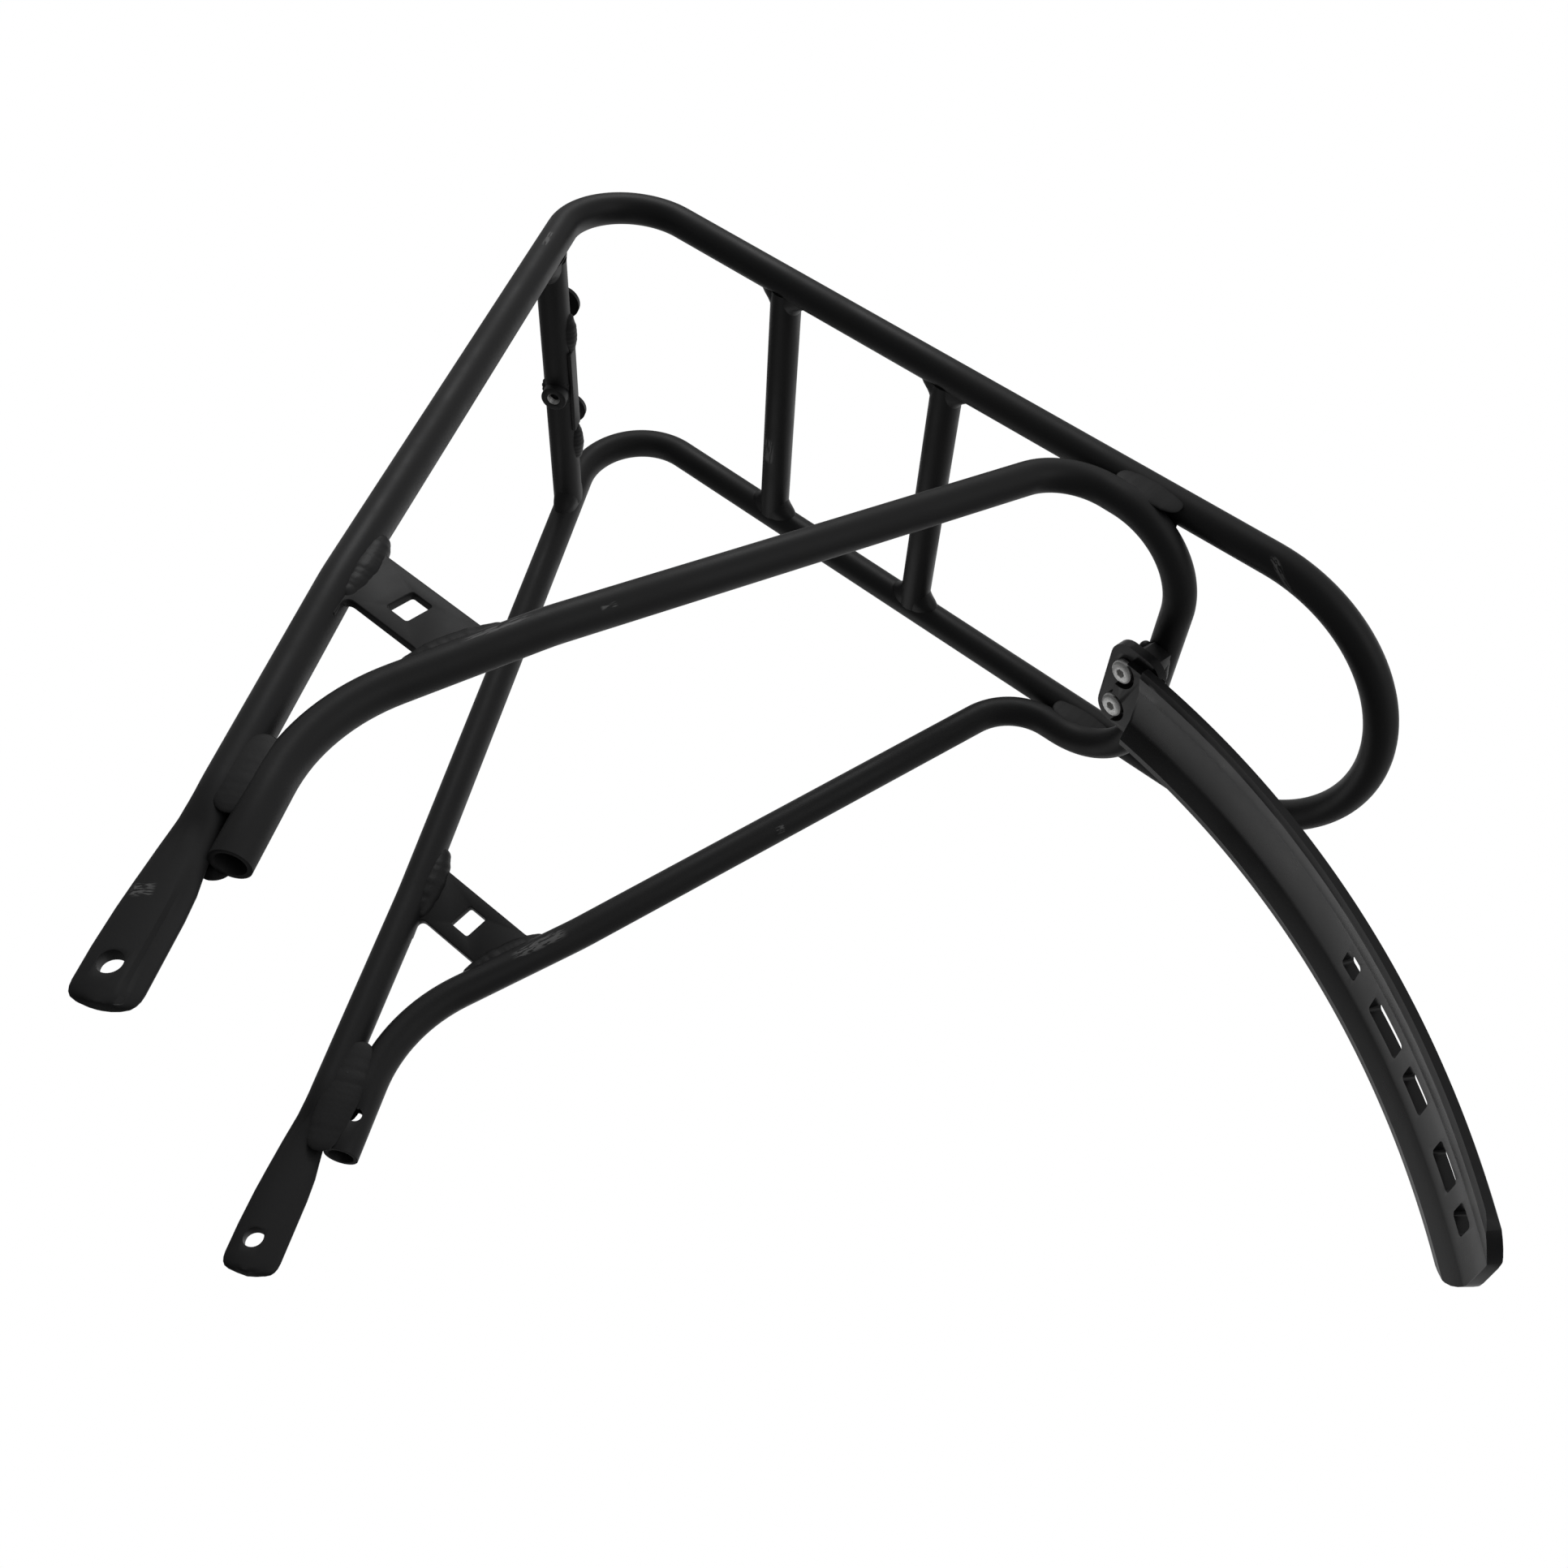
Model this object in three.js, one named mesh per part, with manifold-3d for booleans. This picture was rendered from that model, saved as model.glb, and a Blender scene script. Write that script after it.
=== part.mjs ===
// Rear carrier for a bicycle: a welded tube frame with a bolted mudguard blade.
// Millimetres. +Z is up with the platform level, +X points to the rear, -Y is the carrier's left side.
import * as THREE from 'three';
import Module from 'manifold-3d';
import { mergeVertices } from 'three/addons/utils/BufferGeometryUtils.js';

const wasm = await Module();
wasm.setup();

// Tubes.
const TUBE_RADIUS = 6;
const TUBE_BORE = 4.5;
const BAR_RADIUS = 5;
const BAR_BORE = 3.8;
const GAP = 0.3;
const SIDES = 14;
const BORE_SIDES = 8;

// Platform: the rails run along X at height 0 and flare a little towards the rear loop.
const RAIL_Y_FRONT = 58.5;
const RAIL_Y_REAR = 60.8;
const LOOP_X = 324;
const FRONT_BEND = 28;
const MIDDLE_BAR_X = 104;
const REAR_BAR_X = 184;

// Legs: they lean to the rear, splay outwards down to the gussets, and are then almost upright.
const LEG_LEAN = 0.5614;
const LEG_SPLAY = 0.1023;
const LEG_KINK_DEPTH = 235;
const LOWER_SPLAY = 0.01;
const FOOT_DEPTH = 367.6;
const FRONT_BAR_DEPTH = 55.5;

// Feet: the last stretch of each leg is pressed flat and drilled.
const PRESS_START = 350;
const PRESS_END = 386;
const BRACE_CLEAR = 375;
const SPREAD_END = 396;
const FOOT_FRONT_HALF = 10.3;
const FOOT_REAR_HALF = 8.5;
const FOOT_THICKNESS = 4;
const FOOT_SEAM = 0.4;
const FOOT_CORNER = 3.2;
const FOOT_HOLE_RADIUS = 3.4;
const FOOT_HOLE_X = 198.4;
const FOOT_HOLE_DEPTH = 359;

// Lower tube: a brace from each foot up to the rail, joined by a loop under the platform.
const BRACE_TOP_X = 249.6;
const BRACE_LEAN = 0.293;
const BRACE_Y = 60.3;
const BRACE_SPLAY = 0.1063;
const BRACE_KINK_DEPTH = 205;
const BRACE_LOWER_SPLAY = 0.02;
const BRACE_BOTTOM_DEPTH = 275.2;
const BRACE_END_DEPTH = 321.3;
const BRACE_HOLE_X = 187.3;
const BRACE_HOLE_DEPTH = 308.5;
const LOOP_DROP = 12.3;
const LOOP_REAR_X = 302;
const LOOP_Y = 60.5;

// Gussets.
const GUSSET_TOP = 219;
const GUSSET_BOTTOM = 239.5;
const GUSSET_THICKNESS = 3;

// Mudguard blade: an arc about the wheel side, measured in degrees back from the top.
const ARC_X = 247;
const ARC_Z = -361.3;
const ARC_RADIUS = 331.8;
const BLADE_START = 10.4;
const BLADE_END = 50.4;
const BLADE_HALF_WIDTH = 19.5;
const SCREW_ANGLE = 8.6;
const SCREW_Y = 8.8;

const TUBE_BLACK = { color: 0x17181a, roughness: 0.55, metalness: 0.35 };
const BLADE_BLACK = { color: 0x101113, roughness: 0.3, metalness: 0.1 };
const SCREW_STEEL = { color: 0xb9bcbf, roughness: 0.3, metalness: 1.0 };

const vec = (x, y, z) => new THREE.Vector3(x, y, z);

// A path of straight lines and arcs that passes through its stations, one per extrusion step.
class BentPath extends THREE.Curve {
  constructor(stations) {
    super();
    this.stations = stations;
  }

  get steps() {
    return this.stations.length - 1;
  }

  getUtoTmapping(u) {
    return u;
  }

  getPoint(t, target = new THREE.Vector3()) {
    const place = Math.min(t * this.steps, this.steps - 1e-9);
    const index = Math.floor(place);
    return target.lerpVectors(this.stations[index].point, this.stations[index + 1].point, place - index);
  }

  getTangent(t, target = new THREE.Vector3()) {
    return target.copy(this.stations[Math.round(t * this.steps)].tangent);
  }
}

function arcStations(before, corner, after, radius, degreesPerStep) {
  const back = before.clone().sub(corner).normalize();
  const ahead = after.clone().sub(corner).normalize();
  const opening = back.angleTo(ahead);
  const turn = Math.PI - opening;
  const centre = back.clone().add(ahead).normalize().multiplyScalar(radius / Math.sin(opening / 2)).add(corner);
  const start = back.clone().multiplyScalar(radius / Math.tan(opening / 2)).add(corner);
  const spoke = start.clone().sub(centre);
  const axis = back.clone().negate().cross(ahead).normalize();
  const count = Math.max(2, Math.ceil(THREE.MathUtils.radToDeg(turn) / degreesPerStep));
  const stations = [];
  for (let i = 0; i <= count; i += 1) {
    const angle = (turn * i) / count;
    const point = spoke.clone().applyAxisAngle(axis, angle).add(centre);
    const tangent = back.clone().negate().applyAxisAngle(axis, angle);
    stations.push({ point, tangent });
  }
  return stations;
}

// Corners joined by straight lines, each inner corner rounded to its bend radius.
function bentPath(corners, radii, degreesPerStep = 12) {
  const first = corners[0];
  const last = corners[corners.length - 1];
  const stations = [{ point: first, tangent: corners[1].clone().sub(first).normalize() }];
  for (let i = 1; i < corners.length - 1; i += 1) {
    stations.push(...arcStations(corners[i - 1], corners[i], corners[i + 1], radii[i - 1], degreesPerStep));
  }
  stations.push({ point: last, tangent: last.clone().sub(corners[corners.length - 2]).normalize() });
  return new BentPath(stations);
}

function circlePoints(radius, sides) {
  const points = [];
  for (let i = 0; i < sides; i += 1) {
    const angle = (Math.PI * 2 * (i + 0.5)) / sides;
    points.push(new THREE.Vector2(radius * Math.cos(angle), radius * Math.sin(angle)));
  }
  return points;
}

// A tube's section, with a plainer bore than its outside; a bore of 0 leaves it solid.
function ringShape(outer, inner) {
  const shape = new THREE.Shape(circlePoints(outer, SIDES));
  if (inner > 0) {
    shape.holes.push(new THREE.Path(circlePoints(inner, BORE_SIDES)));
  }
  return shape;
}

function sweep(shape, path) {
  const options = { steps: path.steps, extrudePath: path, bevelEnabled: false };
  return new THREE.ExtrudeGeometry(shape, options);
}

function toSolid(geometry) {
  const bare = geometry.clone();
  bare.deleteAttribute('normal');
  bare.deleteAttribute('uv');
  const welded = mergeVertices(bare, 1e-5);
  const mesh = new wasm.Mesh({
    numProp: 3,
    vertProperties: new Float32Array(welded.attributes.position.array),
    triVerts: new Uint32Array(welded.index.array),
  });
  return new wasm.Manifold(mesh);
}

function toGeometry(solid) {
  const mesh = solid.getMesh();
  const geometry = new THREE.BufferGeometry();
  geometry.setAttribute('position', new THREE.BufferAttribute(new Float32Array(mesh.vertProperties), 3));
  geometry.setIndex(new THREE.BufferAttribute(new Uint32Array(mesh.triVerts), 1));
  const faceted = geometry.toNonIndexed();
  faceted.computeVertexNormals();
  return faceted;
}

// The largest separate piece of a cut solid.
function largestPiece(solid) {
  const pieces = solid.decompose();
  return pieces.reduce((best, piece) => (piece.volume() > best.volume() ? piece : best));
}

// A solid round rod between two points.
function rod(from, to, radius, sides = SIDES) {
  const length = from.distanceTo(to);
  const geometry = new THREE.CylinderGeometry(radius, radius, length, sides);
  const turn = new THREE.Quaternion().setFromUnitVectors(vec(0, 1, 0), to.clone().sub(from).normalize());
  geometry.applyQuaternion(turn);
  geometry.translate((from.x + to.x) / 2, (from.y + to.y) / 2, (from.z + to.z) / 2);
  return toSolid(geometry);
}

// A flat shape given thickness along local z, then placed with its axes along the given directions.
function plate(shape, thickness, origin, xAxis, yAxis, curveSegments = 8) {
  const options = { depth: thickness, bevelEnabled: false, curveSegments };
  const geometry = new THREE.ExtrudeGeometry(shape, options);
  const zAxis = xAxis.clone().cross(yAxis);
  const matrix = new THREE.Matrix4().makeBasis(xAxis, yAxis, zAxis).setPosition(origin);
  return toSolid(geometry.applyMatrix4(matrix));
}

function polygon(points) {
  return new THREE.Shape(points.map(([x, y]) => new THREE.Vector2(x, y)));
}

function roundedBox(x0, x1, y0, y1, r) {
  const shape = new THREE.Shape();
  shape.absarc(x1 - r, y1 - r, r, 0, Math.PI / 2);
  shape.absarc(x0 + r, y1 - r, r, Math.PI / 2, Math.PI);
  shape.absarc(x0 + r, y0 + r, r, Math.PI, Math.PI * 1.5);
  shape.absarc(x1 - r, y0 + r, r, Math.PI * 1.5, Math.PI * 2);
  return shape;
}

const mirrorY = (point) => vec(point.x, -point.y, point.z);

// A point on one leg's axis at a depth below the platform; side is -1 for left and 1 for right.
function legPoint(depth, side) {
  const pressed = PRESS_END / Math.hypot(1, LEG_LEAN);
  const upper = LEG_SPLAY * Math.min(depth, LEG_KINK_DEPTH);
  const lower = LOWER_SPLAY * Math.max(0, Math.min(depth, pressed) - LEG_KINK_DEPTH);
  return vec(LEG_LEAN * depth, side * (RAIL_Y_FRONT - 0.2 + upper + lower), -depth);
}

function bracePoint(depth, side) {
  const upper = BRACE_SPLAY * Math.min(depth, BRACE_KINK_DEPTH);
  const lower = BRACE_LOWER_SPLAY * Math.max(0, depth - BRACE_KINK_DEPTH);
  const y = BRACE_Y + upper + lower;
  return vec(BRACE_TOP_X - BRACE_LEAN * depth, side * y, -depth);
}

// Directions used all over the front of the frame: down the leg, and square to it towards the rear.
const DOWN_LEG = vec(LEG_LEAN, 0, -1).normalize();
const OFF_LEG = vec(1, 0, LEG_LEAN).normalize();
const ACROSS = vec(0, 1, 0);

function mainTubeCorners() {
  const left = [legPoint(FOOT_DEPTH, -1), legPoint(LEG_KINK_DEPTH, -1), vec(0, -RAIL_Y_FRONT, 0)];
  return [...left, vec(LOOP_X, -RAIL_Y_REAR, 0)];
}

// The main tube's path: left foot, leg, rail, half circle at the rear, and back down the right side.
function mainTubePath() {
  const corners = mainTubeCorners();
  const footStations = [];
  for (let along = PRESS_START; along <= SPREAD_END + 0.1; along += (SPREAD_END - PRESS_START) / 10) {
    const depth = along / Math.hypot(1, LEG_LEAN);
    footStations.push({ point: legPoint(depth, -1), tangent: DOWN_LEG.clone().negate() });
  }
  footStations.reverse();
  const side = bentPath(corners, [80, FRONT_BEND]).stations;
  const left = [side[0], ...footStations, ...side.slice(1, -1)];
  const loop = [];
  for (let degrees = -90; degrees <= 90; degrees += 10) {
    const angle = THREE.MathUtils.degToRad(degrees);
    const point = vec(LOOP_X + RAIL_Y_REAR * Math.cos(angle), RAIL_Y_REAR * Math.sin(angle), 0);
    loop.push({ point, tangent: vec(-Math.sin(angle), Math.cos(angle), 0) });
  }
  const right = left.map(({ point, tangent }) => ({
    point: mirrorY(point),
    tangent: mirrorY(tangent).negate(),
  }));
  return new BentPath([...left, ...loop, ...right.reverse()]);
}

// Squeeze the tube's ends between flat jaws: thin across the carrier, wide along it.
function pressFeet(geometry) {
  const position = geometry.attributes.position;
  const point = new THREE.Vector3();
  for (let i = 0; i < position.count; i += 1) {
    point.fromBufferAttribute(position, i);
    const along = point.dot(DOWN_LEG);
    const beyondLegs = point.z > -LEG_KINK_DEPTH || along < PRESS_START;
    if (beyondLegs) continue;
    const side = Math.sign(point.y);
    const axis = legPoint(along / Math.hypot(1, LEG_LEAN), side);
    const share = THREE.MathUtils.smoothstep(along, PRESS_START, PRESS_END);
    const spread = THREE.MathUtils.smoothstep(along, BRACE_CLEAR, SPREAD_END);
    const across = point.y - axis.y;
    const wide = point.clone().sub(axis).dot(OFF_LEG);
    const inBore = Math.hypot(across, wide) < (TUBE_RADIUS + TUBE_BORE) / 2;
    const radius = inBore ? TUBE_BORE : TUBE_RADIUS;
    const flatHalf = inBore ? FOOT_SEAM / 2 : FOOT_THICKNESS / 2;
    const footHalf = wide > 0 ? FOOT_REAR_HALF : FOOT_FRONT_HALF;
    const wideHalf = inBore ? footHalf - FOOT_THICKNESS / 2 : footHalf;
    const squash = Math.sign(across) * Math.min(Math.abs(across) * 1.6, radius) * (flatHalf / radius);
    const newAcross = THREE.MathUtils.lerp(across, squash, share);
    const widening = wide > 0 ? spread : share;
    const newWide = THREE.MathUtils.lerp(wide, wide * (wideHalf / radius), widening);
    point.copy(axis).addScaledVector(ACROSS, newAcross).addScaledVector(OFF_LEG, newWide);
    position.setXYZ(i, point.x, point.y, point.z);
  }
  return geometry;
}

const footY = () => legPoint(FOOT_DEPTH, 1).y;

// What is ground off a foot's end to round its corners.
function footTrimmer(side) {
  const end = FOOT_DEPTH * Math.hypot(1, LEG_LEAN);
  const shape = roundedBox(end - 60, end, -FOOT_REAR_HALF - 0.2, FOOT_FRONT_HALF + 0.2, FOOT_CORNER);
  const towardsFront = OFF_LEG.clone().negate();
  const keep = plate(shape, 12, vec(0, side * footY() - 6, 0), DOWN_LEG, towardsFront, 4);
  const block = polygon([[end - 12, -15], [end + 5, -15], [end + 5, 15], [end - 12, 15]]);
  const blank = plate(block, 11, vec(0, side * footY() - 5.5, 0), DOWN_LEG, towardsFront);
  return blank.subtract(keep);
}

function mainTube() {
  const path = mainTubePath();
  let solid = toSolid(pressFeet(sweep(ringShape(TUBE_RADIUS, TUBE_BORE), path)));
  for (const side of [-1, 1]) {
    solid = solid.subtract(footTrimmer(side));
    const y = side * footY();
    const hole = rod(
      vec(FOOT_HOLE_X, y - 8, -FOOT_HOLE_DEPTH),
      vec(FOOT_HOLE_X, y + 8, -FOOT_HOLE_DEPTH),
      FOOT_HOLE_RADIUS,
      20,
    );
    solid = solid.subtract(hole);
  }
  return solid;
}

function lowerTubePath() {
  const bottom = bracePoint(BRACE_BOTTOM_DEPTH, -1);
  const drop = BRACE_END_DEPTH - BRACE_BOTTOM_DEPTH;
  const end = vec(bottom.x + LEG_LEAN * drop, bracePoint(BRACE_END_DEPTH, -1).y, -BRACE_END_DEPTH);
  const left = [
    end,
    bottom,
    bracePoint(BRACE_KINK_DEPTH, -1),
    bracePoint(LOOP_DROP, -1),
    vec(LOOP_REAR_X, -LOOP_Y, -LOOP_DROP),
  ];
  const corners = [...left, ...left.map(mirrorY).reverse()];
  const bends = [60, 80, 25, 33];
  return bentPath(corners, [...bends, ...bends.slice().reverse()]);
}

function lowerTube(solidSection) {
  const bore = solidSection ? 0 : TUBE_BORE;
  const radius = solidSection ? TUBE_RADIUS + GAP : TUBE_RADIUS;
  const solid = toSolid(sweep(ringShape(radius, bore), lowerTubePath()));
  if (solidSection) return solid;
  const middle = vec(BRACE_HOLE_X, 84, -BRACE_HOLE_DEPTH);
  const slant = vec(-0.3, 0.91, 0.13).normalize().multiplyScalar(15);
  return solid.subtract(rod(middle.clone().sub(slant), middle.clone().add(slant), 2.4, 12));
}

// The main tube's outside grown by the gap, used to fit other pieces to it.
function mainTubeKeepOut() {
  return toSolid(sweep(ringShape(TUBE_RADIUS + GAP, 0), mainTubePath()));
}

function crossbar(x, z, reach, keepOut) {
  const stations = [-reach, reach].map((y) => ({ point: vec(x, y, z), tangent: ACROSS }));
  const solid = toSolid(sweep(ringShape(BAR_RADIUS, BAR_BORE), new BentPath(stations)));
  return largestPiece(solid.subtract(keepOut));
}

// A fillet weld round the end of a crossbar: long along the tube it runs into, and no taller than it.
function barWeld(seat, side, tubeDirection, flare, keepOut) {
  const height = 7.4 + flare * 1.6;
  const profile = [[0, -3], [9 + flare, -3], [9 + flare, 0], [7.4, 3], [6.2, 5.6], [5.4, height], [0, height]];
  const geometry = new THREE.LatheGeometry(profile.map(([r, h]) => new THREE.Vector2(r, h)), 12);
  const inwards = vec(0, -side, 0);
  const flat = tubeDirection.clone().cross(inwards).normalize();
  const matrix = new THREE.Matrix4().makeBasis(tubeDirection, inwards, flat).setPosition(seat);
  const cone = toSolid(geometry.applyMatrix4(matrix));
  const square = polygon([[-15, -5], [15, -5], [15, 20], [-15, 20]]);
  const slab = plate(square, 11.8, seat.clone().addScaledVector(flat, -5.9), tubeDirection, inwards);
  const bar = rod(seat.clone().setY(0), seat.clone().setY(side * 75), BAR_RADIUS + GAP, 16);
  return trim(cone.intersect(slab), [bar, keepOut]);
}

// An ellipsoid lying along one direction and facing outwards: the raw shape of a weld bead.
function ellipsoid(centre, direction, outward, halfLength, halfWidth, halfHeight) {
  const geometry = new THREE.SphereGeometry(1, 12, 6);
  const across = outward.clone().cross(direction).normalize();
  const out = direction.clone().cross(across).normalize();
  const matrix = new THREE.Matrix4().makeBasis(
    direction.clone().normalize().multiplyScalar(halfLength),
    across.multiplyScalar(halfWidth),
    out.multiplyScalar(halfHeight),
  );
  return toSolid(geometry.applyMatrix4(matrix.setPosition(centre)));
}

function trim(solid, cutters) {
  return largestPiece(cutters.reduce((rest, cutter) => rest.subtract(cutter), solid));
}

const GUSSET_MIDDLE = (GUSSET_TOP + GUSSET_BOTTOM) / 2;

// The bead at one end of a gusset; grow makes it larger all round for cutting the gusset to fit.
function gussetBead(side, onLeg, grow = 0) {
  const axis = onLeg ? legPoint(GUSSET_MIDDLE, side) : bracePoint(GUSSET_MIDDLE, side);
  const lean = onLeg ? LEG_LEAN : -BRACE_LEAN;
  const direction = vec(-lean, -side * LEG_SPLAY, 1);
  const outward = vec(onLeg ? 1 : -1, 0, 0);
  const centre = axis.addScaledVector(outward, onLeg ? 6.2 : 5.4);
  return ellipsoid(centre, direction, outward, 13.5 + grow, 4.6 + grow, 6.2 + grow);
}

function gusset(side, cutters) {
  const up = vec(0, -side * LEG_SPLAY, 1).normalize();
  const rearward = vec(1, 0, 0);
  const half = (GUSSET_BOTTOM - GUSSET_TOP) / 2;
  const shape = polygon([[123, -half], [186, -half], [186, half], [123, half]]);
  shape.holes.push(roundedBox(151.8, 160.6, -4.6, 5.2, 0.9));
  const facing = rearward.clone().cross(up);
  const y = legPoint(GUSSET_MIDDLE, side).y + side * 0.8;
  const origin = vec(0, y, -GUSSET_MIDDLE).addScaledVector(facing, -GUSSET_THICKNESS / 2);
  const strap = plate(shape, GUSSET_THICKNESS, origin, rearward, up, 2);
  const beads = [gussetBead(side, true, GAP), gussetBead(side, false, GAP)];
  return trim(strap, [...cutters, ...beads]);
}

// Beads along the line where the brace lies against the leg, and where it lies under the rail.
function legBead(side, face) {
  const centre = legPoint(304, side).addScaledVector(OFF_LEG, 6.3);
  centre.y += face * 4;
  return ellipsoid(centre, DOWN_LEG, vec(0, face, 0), 14, 4.6, 3.4);
}

function railBead(side, face) {
  const centre = vec(276, side * 60.5 + face * 4.1, -LOOP_DROP / 2);
  return ellipsoid(centre, vec(1, 0, 0), vec(0, face, 0), 14, 4.8, 3.6);
}

// Positions on the front crossbar, measured down the leg and off the leg from the bar's axis.
function nearFrontBar(down, off, y) {
  const axis = vec(LEG_LEAN * FRONT_BAR_DEPTH, 0, -FRONT_BAR_DEPTH);
  return axis.addScaledVector(DOWN_LEG, down).addScaledVector(OFF_LEG, off).setY(y);
}

// Threaded boss that takes the front mudguard screw.
function mudguardBoss() {
  const body = rod(nearFrontBar(-1, 0, 0), nearFrontBar(9.2, 0, 0), 5.2, 24);
  const thread = rod(nearFrontBar(4, 0, 0), nearFrontBar(12, 0, 0), 2.5, 16);
  const bar = rod(nearFrontBar(0, 0, -20), nearFrontBar(0, 0, 20), BAR_RADIUS + GAP);
  return largestPiece(body.subtract(bar).subtract(thread));
}

// Fillet round the foot of the boss, shaped to the bar and kept clear of the strip behind it.
function bossWeld(bar) {
  const bead = ellipsoid(nearFrontBar(4, 0, 0), ACROSS, DOWN_LEG, 9.5, 6.8, 2.6);
  const boss = rod(nearFrontBar(-2, 0, 0), nearFrontBar(12, 0, 0), 5.2 + GAP, 24);
  const strip = plate(roundedBox(-3.9, 3.9, -25, 25, 1), 6, nearFrontBar(0, 5, 0), DOWN_LEG, ACROSS, 2);
  return trim(bead, [bar, boss, strip]);
}

function stayBracketWeld(side, bar) {
  const centre = nearFrontBar(0, 5.2, side * 27);
  return trim(ellipsoid(centre, ACROSS, OFF_LEG, 7.2, 4, 2.6), [bar]);
}

// Folded plate over the front crossbar with two drilled ears for the front stays.
function stayBracket() {
  const up = DOWN_LEG.clone().negate();
  const base = plate(
    polygon([[-6.5, -33.6], [3, -33.6], [3, 33.6], [-6.5, 33.6]]),
    2,
    nearFrontBar(-5.3, 0, 0),
    OFF_LEG,
    ACROSS,
  );
  const wall = plate(
    polygon([[5.3, -33.6], [5.3, 33.6], [21, 33.6], [21, 19.6], [12, 15.6], [12, -15.6], [21, -19.6], [21, -33.6]]),
    2,
    nearFrontBar(0, -4.5, 0),
    up,
    ACROSS.clone(),
  );
  const ears = [-26.6, 26.6].map((y) => {
    const shape = new THREE.Shape();
    shape.moveTo(-6.5, y - 7);
    shape.lineTo(-3.1, y - 7);
    shape.absarc(-3.1, y, 7, -Math.PI / 2, Math.PI / 2);
    shape.lineTo(-6.5, y + 7);
    shape.closePath();
    shape.holes.push(new THREE.Path().absarc(-3.1, y, 2.5, 0, Math.PI * 2));
    return plate(shape, 2, nearFrontBar(-19, 0, 0), OFF_LEG, ACROSS, 12);
  });
  return base.add(wall).add(ears[0]).add(ears[1]);
}

// Stiffening strip along the rear of the front crossbar.
function bracketStrip() {
  const shape = roundedBox(-3.6, 3.6, -19.4, 19.4, 1.5);
  return plate(shape, 1.5, nearFrontBar(0, BAR_RADIUS + GAP, 0), DOWN_LEG, ACROSS, 4);
}

// The blade's own directions where it is screwed on: along it, and outwards from the wheel.
const screwTurn = THREE.MathUtils.degToRad(SCREW_ANGLE);
const ALONG_BLADE = vec(Math.cos(screwTurn), 0, -Math.sin(screwTurn));
const AWAY_FROM_WHEEL = vec(Math.sin(screwTurn), 0, Math.cos(screwTurn));

function onBlade(along, y, away) {
  const top = vec(ARC_X, 0, ARC_Z).addScaledVector(AWAY_FROM_WHEEL, ARC_RADIUS);
  return top.addScaledVector(ALONG_BLADE, along).addScaledVector(AWAY_FROM_WHEEL, away).setY(y);
}

// A plan shape drawn along and across the blade, given thickness away from the wheel.
function bladePlate(shape, from, to, curveSegments = 8) {
  return plate(shape, to - from, onBlade(0, 0, from), ALONG_BLADE, ACROSS, curveSegments);
}

// Plate welded under the lower tube's loop, drilled for the two blade screws.
function bladeBracket(lowerKeepOut) {
  const outline = polygon([[-9, -11], [-3, -19], [9, -19], [9, 19], [-3, 19], [-9, 11]]);
  const holes = [-SCREW_Y, SCREW_Y].map((y) => rod(onBlade(0, y, 5), onBlade(0, y, 16), 2.9, 20));
  const cut = holes.reduce((rest, hole) => rest.subtract(hole), bladePlate(outline, 7.3, 15.2));
  return largestPiece(cut.subtract(lowerKeepOut));
}

// Bead across the carrier between the bracket plate and the lower tube; end is -1 in front, 1 behind.
function bladeBracketWeld(end, lowerKeepOut) {
  const along = vec(LOOP_REAR_X, 0, -LOOP_DROP).sub(onBlade(0, 0, 0)).dot(ALONG_BLADE);
  const centre = onBlade(along + end * 5, 0, 16.4);
  const floor = bladePlate(polygon([[-40, -40], [40, -40], [40, 40], [-40, 40]]), 5, 15.5);
  return trim(ellipsoid(centre, ACROSS, AWAY_FROM_WHEEL, 17, 3.4, 2.6), [lowerKeepOut, floor]);
}

// The blade's cross-section: a shallow channel that opens towards the wheel.
function bladeSection() {
  const w = BLADE_HALF_WIDTH;
  const half = [[w, -2.2], [w, 0.8], [w - 2, 2], [9, 4.2]];
  const inside = [[w - 2.6, -2.6], [13, -1.7], [7.5, 0]];
  const right = [...half, ...half.map(([y, r]) => [-y, r]).reverse()];
  const left = [...inside.map(([y, r]) => [-y, r]), ...inside.slice().reverse()];
  return [...right, ...left];
}

function bladeSweep() {
  const stations = [];
  const count = 16;
  for (let i = 0; i <= count; i += 1) {
    const angle = THREE.MathUtils.degToRad(BLADE_START + ((BLADE_END - BLADE_START) * i) / count);
    const point = vec(ARC_X + ARC_RADIUS * Math.sin(angle), 0, ARC_Z + ARC_RADIUS * Math.cos(angle));
    stations.push({ point, tangent: vec(Math.cos(angle), 0, -Math.sin(angle)) });
  }
  const path = new BentPath(stations);
  const frames = path.computeFrenetFrames(path.steps, false);
  const normal = frames.normals[0];
  const binormal = frames.binormals[0];
  const start = THREE.MathUtils.degToRad(BLADE_START);
  const radial = vec(Math.sin(start), 0, Math.cos(start));
  const points = bladeSection().map(([y, r]) => {
    const offset = vec(0, y, 0).addScaledVector(radial, r);
    return [offset.dot(normal), offset.dot(binormal)];
  });
  return toSolid(sweep(polygon(points), path));
}

// Slot cutters through the blade: centre angle and end-to-end length.
function bladeSlot(degrees, length) {
  const angle = THREE.MathUtils.degToRad(degrees);
  const radial = vec(Math.sin(angle), 0, Math.cos(angle));
  const along = vec(Math.cos(angle), 0, -Math.sin(angle));
  const centre = vec(ARC_X, 0, ARC_Z).addScaledVector(radial, ARC_RADIUS - 6);
  return plate(roundedBox(-length / 2, length / 2, -4, 4, 1.6), 14, centre, along, ACROSS, 4);
}

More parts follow.
